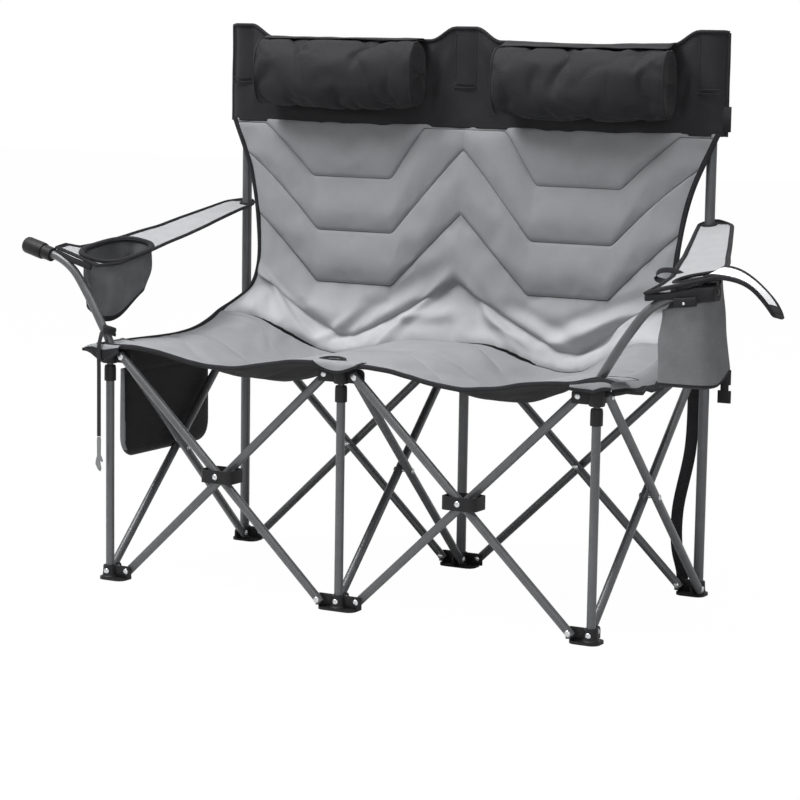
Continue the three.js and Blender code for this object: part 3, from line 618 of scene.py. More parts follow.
# Front clips. Black nylon bands with rounded corners, one round each front crossing of two braces,
# held by the rivet that runs through it.
CROSSING = (PIN_LOW + PIN_HIGH) / 2
CLIP_WIDE, CLIP_DEEP, CLIP_TALL = 34, 26, 12
for side, x in (("left", -BAY / 2), ("right", BAY / 2)):
    mesh = bmesh.new()
    low, high = [
        at(x + way * CLIP_WIDE, FRONT + way * CLIP_DEEP, CROSSING + way * CLIP_TALL) for way in (-1, 1)
    ]
    rounded_plate(mesh, low, high, 0.012, steps=6)
    bmesh.ops.delete(mesh, geom=[f for f in mesh.faces if abs(f.normal.z) > 0.9], context="FACES_ONLY")
    bmesh.ops.recalc_face_normals(mesh, faces=mesh.faces)
    bmesh.ops.solidify(mesh, geom=mesh.faces[:], thickness=0.003)
    fore, aft = [at(x, FRONT + facing * CLIP_DEEP, CROSSING) for facing in (-1, 1)]
    rivet(mesh, fore, fore - BACK)
    rivet(mesh, aft, aft + BACK)
    cross_pin(mesh, fore, aft, 2 * CLIP_DEEP)
    name = f"front_{side}"
    looks = [black_nylon, bright_steel]
    replaced = [f"{name}_cross_clip"]
    clip = piece(f"{name}_clip_band", mesh, looks, f"{name}_clip", replaced)
    eased(clip, 0.0007)


# Arm tubes and grips. Each tube leans out of its front hub and bends over, and ends in a black
# moulded grip with a raised collar.
ARM_WIDE = 0.016
arm_points = [
    (0, 0, 422.3), (0, 0, 439), (2, 0, 452), (18, 0, 480), (56, 3, 540), (88, 6, 580),
    (122, 9, 601), (158, 12.5, 610), (194, 16, 619),
]
for side, sign, thick, neck in (("left", -1, 16, -56), ("right", 1, 12, -38)):
    hub = f"front_{side}_hub"
    arm_route = smooth_route([at(sign * (BAY + out), FRONT + back, z) for out, back, z in arm_points], 60)
    arm_strip = (arm_route, BACK, ARM_WIDE, ARM_WIDE, 24)
    banded(f"{side}_arm_tube_bent", [arm_strip], frame_coat, hub, [f"{side}_arm_tube"])
    mesh = bmesh.new()
    arm_end = arm_route[-1]
    arm_way = (arm_route[-1] - arm_route[-3]).normalized()
    knob = [
        (8.3, neck + 2), (8.3, neck), (thick - 3.4, neck), (thick - 2.4, neck + 0.8), (thick - 2.4, -36),
        (thick - 3, -35.4), (thick - 3, -34.4), (thick - 0.7, -33.6), (thick, -31), (thick, 6),
        (thick - 0.8, 9.4), (thick - 2.4, 11.4), (thick - 5, 12.3), (0, 12.4),
    ]
    turned(mesh, knob, along(arm_end, arm_end + arm_way))
    piece(f"{side}_arm_knob", mesh, [black_nylon], hub, [f"{side}_arm_grip"])


# Sling. Quilted grey polyester over wadding, black underneath: a seat that sags between the posts, a
# rounded crease and a back, with sewn chevrons and black binding along the edges. It is sewn to the
# head panel above and screwed to the hubs below.
def lerp(a, b, share):
    return a + (b - a) * share


def clamp(share):
    return min(max(share, 0.0), 1.0)


def ease(value, low, high):
    share = clamp((value - low) / (high - low))
    return share * share * (3 - 2 * share)


def hump(value, width):
    """A soft bump round zero, 1 high."""
    return math.exp(-((value / width) ** 2))


def dip(x):
    """How far the cloth sags between two posts, from 0 over a post to 1 in the middle of a bay."""
    return math.sin(math.pi * clamp((abs(x) - 60) / 380)) ** 2


def ridges(x, z, folds):
    """The height of soft folds at a point. Each runs between two points, with a width and a height."""
    total = 0
    for x0, z0, x1, z1, width, height in folds:
        length = math.hypot(x1 - x0, z1 - z0)
        share = ((x - x0) * (x1 - x0) + (z - z0) * (z1 - z0)) / length**2
        aside = ((x - x0) * (z1 - z0) - (z - z0) * (x1 - x0)) / length
        fade = ease(share, -0.1, 0.25) * (1 - ease(share, 0.7, 1.1))
        total += height * fade * hump(aside, width)
    return total


def filled(obj, still, pressure, slack, cap, frames=20):
    """Fills a sewn cover in a cloth simulation, held at its still points, and keeps the shape it takes."""
    rest = [v.co.copy() for v in obj.data.vertices]
    pin = obj.vertex_groups.new(name="still")
    pin.add(still, 1.0, "REPLACE")
    cloth = obj.modifiers.new("fill", "CLOTH")
    cloth.settings.vertex_group_mass = "still"
    cloth.settings.use_pressure = True
    cloth.settings.uniform_pressure_force = pressure
    cloth.settings.shrink_min = -slack
    cloth.settings.effector_weights.gravity = 0.0
    cloth.settings.bending_stiffness = 4.0
    cloth.settings.quality = 5
    for step in range(1, frames + 1):
        scene.frame_set(step)
    graph = bpy.context.evaluated_depsgraph_get()
    moved = [v.co.copy() for v in obj.evaluated_get(graph).data.vertices]
    obj.modifiers.remove(cloth)
    obj.vertex_groups.remove(pin)
    scene.frame_set(1)
    for vert, before, after in zip(obj.data.vertices, rest, moved):
        step = after - before
        vert.co = before + step * min(1.0, cap / max(step.length, 1e-9))


def finer(obj):
    """Smooths a piece with one step of subdivision."""
    made = obj.modifiers.new("finer", "SUBSURF")
    made.levels = made.render_levels = 1


def thickened(obj, thick, side=-1.0, lining=0, rim=0):
    """Gives a sheet its thickness, and other materials to its far side and rim where they are asked for."""
    made = obj.modifiers.new("cloth", "SOLIDIFY")
    made.thickness = thick
    made.offset = side
    made.material_offset = lining
    made.material_offset_rim = rim


def squash(way, *pieces):
    """Gives each piece of cloth its own copy of its mesh; the way is not used."""
    for obj in pieces:
        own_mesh(obj)


# Lines across the sling from hem to top: half width, then (y, z) at the side, in a bay, at the middle
sling_lines = [
    (518, (-254, 446), (-254, 422), (-254, 446)),
    (507, (-165, 447), (-165, 399), (-165, 447)),
    (490, (-30, 448), (-30, 377), (-30, 448)),
    (486, (37, 456), (62, 378), (60, 448)),
    (484, (80, 469), (125, 389), (115, 448)),
    (480, (108, 483), (170, 410), (164, 450)),
    (468, (146, 501), (193, 440), (186, 470)),
    (456, (184, 526), (201, 480), (197, 510)),
    (450, (202, 570), (205, 535), (203, 560)),
    (454, (208, 650), (210, 640), (209, 660)),
    (474, (214, 750), (216, 745), (215, 755)),
    (520, (220, 858), (220, 858), (220, 858)),
]
CREASE_LINE = 5
SLING_COLUMNS = 144
SLING_STEPS = 400
SLING_LENGTH = 1130
SLING_BANDS = [10, 10, 10, 10, 10, 14, 14, 14, 14]
LOW_BACK = 4
sling_folds = [
    (-448, 556, -385, 420, 7, 6), (-440, 550, -285, 405, 8, 7), (-446, 540, -425, 440, 8, 5),
    (-276, 436, 0, 605, 20, -8), (-276, 436, -420, 525, 18, -6), (-300, 420, -200, 500, 10, 5),
    (-10, 575, -160, 415, 9, 6), (10, 575, 150, 425, 9, 6), (105, 530, 275, 450, 16, -7),
    (430, 565, 190, 478, 14, -6), (405, 522, 185, 446, 11, 6), (360, 480, 235, 430, 9, -5),
    (-452, 580, -395, 480, 6, 7), (-450, 572, -345, 462, 6, 8), (-446, 560, -300, 448, 7, 8),
    (452, 580, 392, 484, 6, 6), (448, 560, 335, 458, 7, 7), (-120, 480, 20, 500, 7, 6),
    (60, 505, 170, 440, 7, 6),
]


def zigzag(x, flat):
    return max(0.0, abs(abs(x) - BAY / 2) - flat)


def sling_column(u):
    """The seams' places down one column of the sling, and the curve that they lie on."""
    points = []
    for half, edge, bay, mid in sling_lines:
        x = u * half
        post = mid if abs(x) < BAY / 2 else edge
        points.append(Vector((x, lerp(post[0], bay[0], dip(x)), lerp(post[1], bay[1], dip(x)))))
    if u > 0.85:
        lift = 14 * ease(u, 0.85, 1.0)
        points[0].z += lift
        points[1].z += lift / 3
    curve = smooth_route(points, SLING_STEPS)
    crease = min(range(SLING_STEPS), key=lambda k: (curve[k] - points[CREASE_LINE]).length)

    def where(axis, goal, low, high):
        for k in range(low, high):
            if curve[k + 1][axis] >= goal:
                return k + clamp((goal - curve[k][axis]) / (curve[k + 1][axis] - curve[k][axis]))
        return float(high)

    x = u * 486
    stops = [0.0]
    for goal in (
        min(-165 + 0.75 * zigzag(x, 90), -38), -30, min(78 + 0.6 * zigzag(x, 90), points[CREASE_LINE].y - 12)
    ):
        stops.append(where(1, goal, 0, crease))
    stops.append(float(crease))
    for flat, slope, level in ((20, 0.5, 442), (90, 0.92, 543), (90, 1.05, 645), (90, 1.3, 750)):
        stops.append(where(2, min(level + slope * zigzag(x, flat), 850), crease, SLING_STEPS))
    stops.append(float(SLING_STEPS))
    for k in range(1, len(stops)):
        stops[k] = max(stops[k], stops[k - 1] + 1.5)
    scale = SLING_STEPS / stops[-1]
    return [stop * scale for stop in stops], curve


sling = []
sling_share = []
for c in range(SLING_COLUMNS + 1):
    stops, curve = sling_column(2 * c / SLING_COLUMNS - 1)
    line = []
    shares = []
    for b, count in enumerate(SLING_BANDS):
        last = 1 if b == len(SLING_BANDS) - 1 else 0
        for k in range(count + last):
            share = lerp(k / count, 0.5 - 0.5 * math.cos(math.pi * k / count), 0.6)
            stop = lerp(stops[b], stops[b + 1], share)
            low = min(int(stop), SLING_STEPS - 1)
            line.append(curve[low].lerp(curve[low + 1], stop - low))
            shares.append((share, (stops[b + 1] - stops[b]) / SLING_STEPS * SLING_LENGTH, b))
    sling.append(line)
    sling_share.append(shares)
SLING_ROWS = len(sling[0]) - 1
seat_split = sum(SLING_BANDS[:2])
seat_crease = sum(SLING_BANDS[:LOW_BACK])
sling_seams = {sum(SLING_BANDS[:k]) for k in range(len(SLING_BANDS) + 1)}


def sling_normal(c, r):
    across = sling[min(c + 1, SLING_COLUMNS)][r] - sling[max(c - 1, 0)][r]
    down = sling[c][min(r + 1, SLING_ROWS)] - sling[c][max(r - 1, 0)]
    return across.cross(down).normalized()


puffed = []
for c in range(SLING_COLUMNS + 1):
    inside = 1 - abs(2 * c / SLING_COLUMNS - 1) ** 20
    line = []
    for r in range(SLING_ROWS + 1):
        share, width, b = sling_share[c][r]
        loft, power = (2.0, 0.4) if b < LOW_BACK else (8.0, 0.8) if b == LOW_BACK else (9.0, 0.4)
        swell = loft * math.sin(math.pi * share) ** power if 0 < share < 1 else 0.0
        if b == LOW_BACK + 1:
            swell = 15 * math.sin(math.pi * share**0.55)
        swell *= min(1.0, width / 70)
        point = sling[c][r]
        if r > seat_crease:
            swell += 1.7 * ridges(point.x, point.z, sling_folds) * ease(point.z, 405, 440)
        tuck = hump(r - seat_crease, 1.1)
        tuck *= 0.35 + 0.65 * max(hump(point.x + 440, 60), hump(point.x - 20, 120))
        swell += 1.2 * noise.noise(Vector((point.x / 38, (point.y + point.z) / 60, 3.1))) - 13 * tuck
        line.append(point + sling_normal(c, r) * swell * inside)
    puffed.append(line)

grey_cloth = woven("grey_cloth", (0.23, 0.234, 0.243), spread=0.06, pitch=0.0017, uv="flat")
# The back's cloth carries painted light: paler below about half a metre up, where the lower back would catch
# more light.
back_cloth = woven(
    "back_cloth", (0.228, 0.232, 0.241), spread=0.06, pitch=0.0017, uv="flat", painted_light_low=(0.47, 0.57, 1.72)
)
under_cloth = woven("under_cloth", (0.012, 0.012, 0.013), spread=0.2, pitch=0.0017)
binding_cloth = woven("binding_cloth", (0.018, 0.018, 0.02), spread=0.25, pitch=0.0012)
# Dark thread for the back's seams; along the crease the same dark line also serves as painted shadow in the
# fold.
seam_thread_and_crease_shade = woven("seam_thread_and_crease_shade", (0.06, 0.061, 0.064), spread=0.2, pitch=0.0012)
FOLD_ACROSS = {"axis": (1, 0, 0), "anchor": (middle_x, 0, 0), "keep": 0.217}


def sling_point(c, r, proud=0.0):
    """A point of the quilted sling, or one that stands proud of it."""
    return at(*(puffed[c][r] + sling_normal(c, r) * proud))


def sling_panel(name, first, last, body, node_name, loft):
    """One panel of the sling between two rows, with its binding along the free edges."""
    mesh = bmesh.new()
    is_back = first == seat_crease

    def flat(c, r):
        return ((2 * c / SLING_COLUMNS - 1) * 0.5, (first + r) * 0.011)

    def paint(c, r):
        right = c == SLING_COLUMNS - 1 and (first + r < 2 or first + r >= seat_crease - 6)
        return 2 if c == 0 or right or first + r == 0 else 0

    surface(mesh, SLING_COLUMNS, last - first, lambda c, r: sling_point(c, first + r), flat, paint)
    sharp = mesh.edges.layers.float.new("crease_edge")
    mesh.verts.ensure_lookup_table()
    wide = SLING_COLUMNS + 1
    for edge in mesh.edges:
        low, high = sorted(v.index for v in edge.verts)
        if high == low + 1 and first + low // wide in sling_seams:
            edge[sharp] = 0.9
    looks = [back_cloth if is_back else grey_cloth, under_cloth, binding_cloth]
    obj = piece(name, mesh, looks, body, [node_name], sharp=0, sheet=True)
    obj.data.uv_layers[0].name = "flat"
    sewn = [
        r * wide + c for r in range(last - first + 1) for c in range(wide)
        if first + r in sling_seams or c in (0, SLING_COLUMNS)
    ]
    filled(obj, sewn, *loft)
    finer(obj)
    thickened(obj, 0.004, lining=1, rim=2)
    squash(FOLD_ACROSS, obj)
    strips = [
        ([sling_point(c, r) for r in range(start, last + 1)], ACROSS, 0.008, 0.007, 8)
        for c, start in ((0, first), (SLING_COLUMNS, max(first, seat_crease - 7))) if start < last
    ]
    if first == 0:
        strips.append(([sling_point(c, 0) for c in range(wide)], BACK, 0.008, 0.009, 8))
    squash(FOLD_ACROSS, banded(name + "_binding", strips, binding_cloth, body))
    if is_back:
        # Dark thread along the back's sewn seams and its crease; at the crease the dark line is painted
        # shadow in the fold as well as a seam.
        seams = [r for r in sorted(sling_seams) if first <= r < last and r != first + SLING_BANDS[LOW_BACK]]
        strips = [
            ([sling_point(c, r, 0.2) for c in range(1, SLING_COLUMNS)], UP, 0.0024, 0.0012, 6) for r in seams
        ]
        squash(FOLD_ACROSS, banded(name + "_seams", strips, seam_thread_and_crease_shade, body))


sling_panel("seat_front_quilt", 0, seat_split, "seat_front", "seat_front", (0.4, 0.004, 0.004))
sling_panel("seat_rear_quilt", seat_split, seat_crease, "seat_rear", "seat_rear", (0.4, 0.006, 0.005))
sling_panel("back_quilt", seat_crease, SLING_ROWS, "rear_middle", "back_panel", (0.9, 0.004, 0.006))
# Painted shadow: a thin black strip along two stretches of the seat-back crease, where the fold's shade
# falls, set a little proud of the groove so that it shows.
crease_shadow_strips = []
for low, high, proud in ((2, 28, 5.5), (58, 100, 9.0)):
    crease_shadow_line = []
    for c in range(low, high + 1):
        raised = proud * max(math.sin(math.pi * (c - low) / (high - low)), 0.0) ** 0.6
        crease_shadow_line.append(sling_point(c, seat_crease, raised))
    crease_shadow_strips.append((crease_shadow_line, UP, 0.0055, 0.002, 6))
squash(FOLD_ACROSS, banded("back_crease_painted_shadow", crease_shadow_strips, under_cloth, "rear_middle"))


# Seat corners. Grey cloth boots doubled over the seat's front edge at each hub, sewn down round their
# edges. The arm tubes come up through the outer two, and the middle one has a pull loop.
def seat_height(x, y):
    """The height of the seat's upper face over one point."""
    seat = [p for line in puffed for p in line[: seat_split + 1]]
    near = sorted(((p.x - x) ** 2 + (p.y - y) ** 2, p.z) for p in seat)[:3]
    weights = [1 / (d + 4) for d, _ in near]
    return sum(w * z for w, (_, z) in zip(weights, near)) / sum(weights)


def face_up(mesh):
    if sum(f.normal.z for f in mesh.faces) < 0:
        bmesh.ops.reverse_faces(mesh, faces=mesh.faces)


BOOT_COLUMNS, BOOT_ROWS, BOOT_EDGE = 22, 20, 14
# The way that each boot faces, its two ends, its black rows and how deep its front falls
boots = {
    "left": (-1, -36, 46, range(16, 20), lambda s: 32 - 0.62 * abs(s + 2)),
    "middle": (1, -46, 46, (), lambda s: 16 - 15 * (s / 46) ** 2),
    "right": (1, -40, 36, range(12, 16), lambda s: 22 - 0.3 * abs(s - 4)),
}
pull_route = [
    (-42, -240), (-40, -228), (-32, -218), (-18, -215), (-6, -220), (2, -230), (4, -240), (-10, -243),
    (-28, -243), (-42, -240),
]


def boot_point(column, c, r):
    x = columns[column]
    sign, inner, outer, _, deep = boots[column]
    share = c / BOOT_COLUMNS if sign > 0 else 1 - c / BOOT_COLUMNS
    s = lerp(inner, outer, share)
    back = 34 - 0.5 * abs(s) if column == "middle" else lerp(30, 90, share)
    t = lerp(back, -23, min(r / BOOT_EDGE, 1.0))
    top = seat_height(x + sign * min(s, 17), FRONT + t) + 2.2
    if column == "middle":
        top += 3.2 * ease(-t, -14, 8)
    else:
        top -= max(0.0, s - 18) ** 2 / 80
    drop = max(r - BOOT_EDGE, 0) / (BOOT_ROWS - BOOT_EDGE)
    t -= 2.5 * math.sin(math.pi * min(drop * 2, 1.0) / 2) + 1.5 * drop * math.sin(s / 9)
    return at(x + sign * s, FRONT + t, top - deep(s) * drop**1.1)


for column, x in columns.items():
    sign, _, _, black_rows, _ = boots[column]
    mesh = bmesh.new()
    surface(
        mesh, BOOT_COLUMNS, BOOT_ROWS, lambda c, r: boot_point(column, c, r),
        paint=lambda c, r: 1 if r in black_rows else 0,
    )
    if column != "middle":
        tube_spot = at(x + sign * 1.5, FRONT, 0)
        around = [f for f in mesh.faces if (f.calc_center_median().xy - tube_spot.xy).length < 0.0115]
        bmesh.ops.delete(mesh, geom=around, context="FACES")
    face_up(mesh)
    name = f"seat_{column}_boot"
    boot = piece(name, mesh, [grey_cloth, binding_cloth], "seat_front", sharp=0, sheet=True)
    thickened(boot, 0.0012)
    hem, seam = [[boot_point(column, c, r) for c in range(BOOT_COLUMNS + 1)] for r in (BOOT_ROWS, 0)]
    strips = [(hem, UP, 0.006, 0.004, 8), (seam, BACK, 0.003, 0.0016, 8)]
    boot_trim = [banded(f"{name}_binding", strips, binding_cloth, "seat_front")]
    if column == "middle":
        pull = smooth_route([at(x, y, seat_height(x, y) + 6.5) for x, y in pull_route], 40)
        boot_trim.append(banded("seat_pull_loop", [(pull, UP, 0.004, 0.007, 8)], binding_cloth, "seat_front"))
    squash(FOLD_ACROSS, boot, *boot_trim)


# Seat side. On the right the seat's edge hangs out loose past the frame, grey above and black below,
# with a rippled black binding. It is cut with the seat, in a front and a rear half.
SIDE_COLUMNS, SIDE_ROWS, SIDE_START = 10, seat_crease - 8, 2


def side_point(c, r):
    edge = puffed[SLING_COLUMNS][SIDE_START + r]
    share = c / SIDE_COLUMNS
    ripple = math.sin(edge.y / 13) + 0.6 * math.sin(edge.y / 7 + 1)
    reach = (36 + 2 * ripple) * ease(r, -3, 6) * (1 - ease(r, SIDE_ROWS - 12, SIDE_ROWS + 1))
    drop = (24 + 2.2 * ripple + 5 * r / SIDE_ROWS) * (1 - ease(r, SIDE_ROWS - 10, SIDE_ROWS))
    return at(edge.x - 3 * (1 - share) + reach * share, edge.y, edge.z + 1.2 - drop * share**1.6)


side_cut = seat_split - SIDE_START
for half, start, end, area in (("front", 0, side_cut, 0.0088), ("rear", side_cut, SIDE_ROWS, 0.0042)):
    mesh = bmesh.new()
    surface(
        mesh, SIDE_COLUMNS, end - start, lambda c, r: side_point(c, start + r),
        paint=lambda c, r: 2 if c >= 8 else 0,
    )
    face_up(mesh)
    body = f"seat_{half}"
    looks = [grey_cloth, under_cloth, binding_cloth]
    loose = piece(f"{body}_side_cloth", mesh, looks, body, sharp=0, sheet=True)
    finer(loose)
    thickened(loose, 0.0016, lining=1)
    hem = [side_point(SIDE_COLUMNS, r) for r in range(start, end + 1)]
    edge = banded(f"{body}_side_binding", [(hem, UP, 0.007, 0.005, 8)], binding_cloth, body)
    squash(FOLD_ACROSS, loose, edge)


# Head panel. Black polyester hung on the post tops by a stitched pocket over each, with a bound
# top edge that drops between the posts, sewn to the back along its foot.
black_cloth = woven("black_cloth", (0.014, 0.014, 0.0155), spread=0.15, pitch=0.0019, gloss=(0.66, 0.13))
HEAD_COLUMNS, HEAD_ROWS = 144, 28
HEAD_HALF, HEAD_FOOT, HEAD_TOP = 530, 853, 1042
head_folds = [
    (-470, 1034, -395, 900, 12, 7), (-474, 1010, -440, 880, 9, 6), (-476, 980, -470, 872, 8, 4),
    (-60, 1024, -105, 895, 14, 6), (-38, 1000, -62, 872, 9, 5), (40, 1024, 98, 900, 14, 6),
    (30, 990, 66, 875, 9, 5), (466, 1026, 428, 900, 12, 6), (474, 1000, 456, 876, 9, 6),
    (-440, 880, -120, 866, 10, 3), (110, 876, 430, 866, 10, 3),
]


def off_post(x):
    return min(abs(x - post) for post in columns.values())


def head_edge(x):
    """The height of the head panel's top edge."""
    return HEAD_TOP - 25 * ease(off_post(x), 22, 74) - 4 * dip(x)


def head_point(c, r):
    x = (2 * c / HEAD_COLUMNS - 1) * HEAD_HALF
    z = lerp(HEAD_FOOT, head_edge(x), r / HEAD_ROWS)
    y = 218.5 - ridges(x, z, head_folds)
    y += ease(z, 925, 935) * (3.0 * hump(off_post(x) - 22, 3.5) - 2.0 * hump(off_post(x), 12))
    y += 14 * max(0.0, (abs(x) - BAY) / 30) ** 2
    y += 1.2 * noise.noise(Vector((x / 55, z / 45, 0.7)))
    return at(x, y, z)


mesh = bmesh.new()
surface(mesh, HEAD_COLUMNS, HEAD_ROWS, head_point)
head = piece(
    "head_panel_cloth", mesh, [black_cloth], "rear_middle", ["head_panel"], sharp=0, sheet=True
)
finer(head)
thickened(head, 0.0025)

mesh = bmesh.new()
band(mesh, [head_point(c, HEAD_ROWS) for c in range(HEAD_COLUMNS + 1)], BACK, 0.007, 0.007, sides=8)
for c in (0, HEAD_COLUMNS):
    band(mesh, [head_point(c, r) for r in range(HEAD_ROWS + 1)], ACROSS, 0.006, 0.006, sides=8)
for x in columns.values():
    for z in (930, 938):
        stitches = [at(x + aside, 216.2 - 2.0 * hump(aside, 12), z) for aside in range(-20, 21, 4)]
        band(mesh, stitches, UP, 0.0022, 0.0022, sides=6)
    for aside in (-21, 21):
        c = round((x + aside + HEAD_HALF) / (2 * HEAD_HALF) * HEAD_COLUMNS)
        stitches = [head_point(c, r) - Vector((0, 0.0012, 0)) for r in range(11, HEAD_ROWS)]
        band(mesh, stitches, ACROSS, 0.0026, 0.0022, sides=6)
rounded_plate(mesh, at(521, 228, 862), at(539, 231, 908), 0.001, steps=2, edge=0.0008)
head_trim = [piece("head_panel_stitching", mesh, [binding_cloth], "rear_middle", sharp=0)]
squash(FOLD_ACROSS, head, *head_trim)

SLEEVE_ROWS = 9
for column, x in columns.items():

    def sleeve(c, r, x=x):
        angle = math.pi * (c / 16 - 0.5) * 1.3
        past = max(r - SLEEVE_ROWS, 0)
        shrink = (1.0, 0.86, 0.5, 0.02)[past]
        z = lerp(930, 1033, min(r, SLEEVE_ROWS) / SLEEVE_ROWS) + (0, 4, 6.5, 7)[past]
        return at(x + 14.5 * math.sin(angle) * shrink, 235 + 15 * math.cos(angle) * shrink, z)

    mesh = bmesh.new()
    surface(mesh, 16, SLEEVE_ROWS + 3, sleeve)
    body = leg_body("rear", column)
    head_trim.append(piece(f"head_{column}_pocket", mesh, [black_cloth], body, sharp=0))
    thickened(head_trim[-1], 0.0015, side=0.0)


# Head pillows. Black polyester bolsters, firmly filled, hung against the head panel by a sewn flap
# along the top, with a piped seam round each end.
def signed(value, power):
    """A power that keeps the value's sign, which squares off a round section."""
    return math.copysign(abs(value) ** power, value)


def bag(columns, rows, place, paint=None):
    """A mesh whose meeting edges are joined to close it."""
    mesh = bmesh.new()
    surface(mesh, columns, rows, place, paint=paint)
    bmesh.ops.remove_doubles(mesh, verts=mesh.verts[:], dist=2e-5)
    return mesh


PILLOW_ROUND, PILLOW_LONG, PILLOW_END = 48, 72, 4
PILLOW_HALF, PILLOW_TALL = 178, 136
FLAP_COLUMNS, FLAP_ROWS = 30, 10
for side, x0, top in (("left", -256, 1022), ("right", 264, 1014)):

    def pillow_point(c, r, x0=x0, top=top):
        angle = 2 * math.pi * c / PILLOW_ROUND
        end = min(r, PILLOW_LONG - r)
        on_end = end < PILLOW_END
        shrink = (0.02, 0.4, 0.72, 0.92)[end] if on_end else 1.0
        out = (0, 3.5, 4, 3)[end] if on_end else 0.0
        along_x = 2 * clamp((r - PILLOW_END) / (PILLOW_LONG - 2 * PILLOW_END)) - 1
        swag = 5 * (1 - along_x**2)
        rumple = Vector((
            along_x * 2.6 + 0.5 * math.sin(angle), 1.2 * math.sin(angle), 0.9 * math.cos(angle) + x0 / 90
        ))
        crease = max(0.0, 1 - 6 * abs(noise.noise(rumple))) ** 1.5 * (not on_end)
        taper = (1 - 0.1 * abs(along_x) ** 3) * (1 - 0.07 * crease)
        deep = signed(math.cos(angle), 0.86) * 37 * taper * shrink
        rise = signed(math.sin(angle), 0.8) * PILLOW_TALL / 2 * taper * shrink
        x = x0 + along_x * (PILLOW_HALF - 5) + math.copysign(5 - out, along_x) * on_end
        return at(x, min(178 - deep, 214), top - PILLOW_TALL / 2 - swag + rise)

    mesh = bag(PILLOW_ROUND, PILLOW_LONG, pillow_point)
    name = f"{side}_pillow"
    pillow = piece(f"{name}_bolster", mesh, [black_cloth], "rear_middle", [name], sharp=0)
    back_y = at(0, 206, 0).y
    sewn_x = [at(x0 + way * (PILLOW_HALF - 5), 0, 0).x for way in (-1, 1)]
    held = [
        v.index for v in pillow.data.vertices
        if v.co.y > back_y or min(abs(v.co.x - x) for x in sewn_x) < 0.001
    ]
    filled(pillow, held, 3.0, 0.03, 0.012)
    finer(pillow)
    rings = [
        [pillow_point(c % PILLOW_ROUND, r) for c in range(PILLOW_ROUND + 1)]
        for r in (PILLOW_END, PILLOW_LONG - PILLOW_END)
    ]
    strips = [(ring, ACROSS, 0.0045, 0.0045, 8) for ring in rings]
    piping = banded(f"{name}_piping", strips, black_cloth, "rear_middle")

    def flap_point(c, r, x0=x0, top=top):
        x = x0 + (2 * c / FLAP_COLUMNS - 1) * (PILLOW_HALF - 8)
        share = r / FLAP_ROWS
        lift = 3 * math.sin(math.pi * share) + 1.5 * noise.noise(Vector((x / 40, share * 3, 2.2)))
        z = lerp(head_edge(x) + 2, top - 4, ease(share, 0.0, 0.8)) + lift
        return at(x, lerp(214.5, 176, share), z)

    mesh = bmesh.new()
    surface(mesh, FLAP_COLUMNS, FLAP_ROWS, flap_point)
    flap = piece(f"{name}_flap", mesh, [black_cloth], "rear_middle", sharp=0)
    thickened(flap, 0.0016, side=0.0)
    squash(FOLD_ACROSS, pillow, piping, flap)


# Armrests. Pale polyester sheets bound in black, sewn round the arm tubes in front and slung back to
# the rear posts, which pass through a black eyelet. Each has a mouth in front for its pouch.
FOLD_BACK = {"axis": (0, 1, 0), "anchor": tuple(at(0, FRONT, 0)), "keep": 0.178}
pale_cloth = woven("pale_cloth", (0.296, 0.3, 0.308), spread=0.08, pitch=0.0016)
REST_FRONT, REST_REAR = -250, 262
REST_COLUMNS, REST_ROWS = 28, 104
REST_SLOPE = 0.2556
rest_stops = [0, 0.07, 0.09, 0.21, 0.34, 0.5, 0.68, 1]
rest_inner = {"left": [29, 9, 6, 0, -2, -3, -5, -18], "right": [88, 92, 93, 88, 68, 44, 18, -27]}
rest_outer = {"left": [132, 131, 106, 90, 82, 77, 70, 44], "right": [206, 204, 200, 188, 165, 132, 98, 36]}
rest_lift = {"left": 0.0, "right": 4.5}
rest_mouth = {"left": (47, -150, 42, 72, -0.11), "right": (150, -184, 36, 27, 0.0)}
POST_EYE = (0, REAR, 11.5, 11.5, 0.0)


def between(stops, values, share):
    """The value at a share of the way along a row of stops."""
    for low, high, a, b in zip(stops, stops[1:], values, values[1:]):
        if share <= high:
            return lerp(a, b, (share - low) / (high - low))
    return values[-1]


def rest_under(side, out, y):
    """The height of an armrest's underside, at a distance out of its post's column."""
    share = (y - REST_FRONT) / (REST_REAR - REST_FRONT)
    return 605.6 + rest_lift[side] + REST_SLOPE * (out - 104) * (1 - share) + 84 * share


def rest_top(side, out, y):
    """The height of an armrest's upper face, with the slack between its ends."""
    share = (y - REST_FRONT) / (REST_REAR - REST_FRONT)
    slack = 4 * math.sin(math.pi * share) ** 2 + 1.2 * noise.noise(Vector((out / 40, y / 60, 1.7)))
    return rest_under(side, out, y) + 3.5 - slack * ease(share, 0.35, 0.6)


def in_mouth(mouth, out, y):
    """Below 1 inside a rounded opening, 1 on its rim."""
    x0, y0, half_x, half_y, skew = mouth
    aside = out - x0 - skew * (y - y0)
    return (abs(aside / half_x) ** 2.6 + abs((y - y0) / half_y) ** 2.6) ** (1 / 2.6)


def borders(mesh):
    """The open edges of a sheet as loops of points."""
    left = {e: None for e in mesh.edges if e.is_boundary}
    loops = []
    while left:
        edge = next(iter(left))
        del left[edge]
        loop = [edge.verts[0], edge.verts[1]]
        step = edge
        while step:
            step = next((e for e in loop[-1].link_edges if e in left), None)
            if step:
                del left[step]
                loop.append(step.other_vert(loop[-1]))
        loops.append([v.co.copy() for v in loop])
    return loops


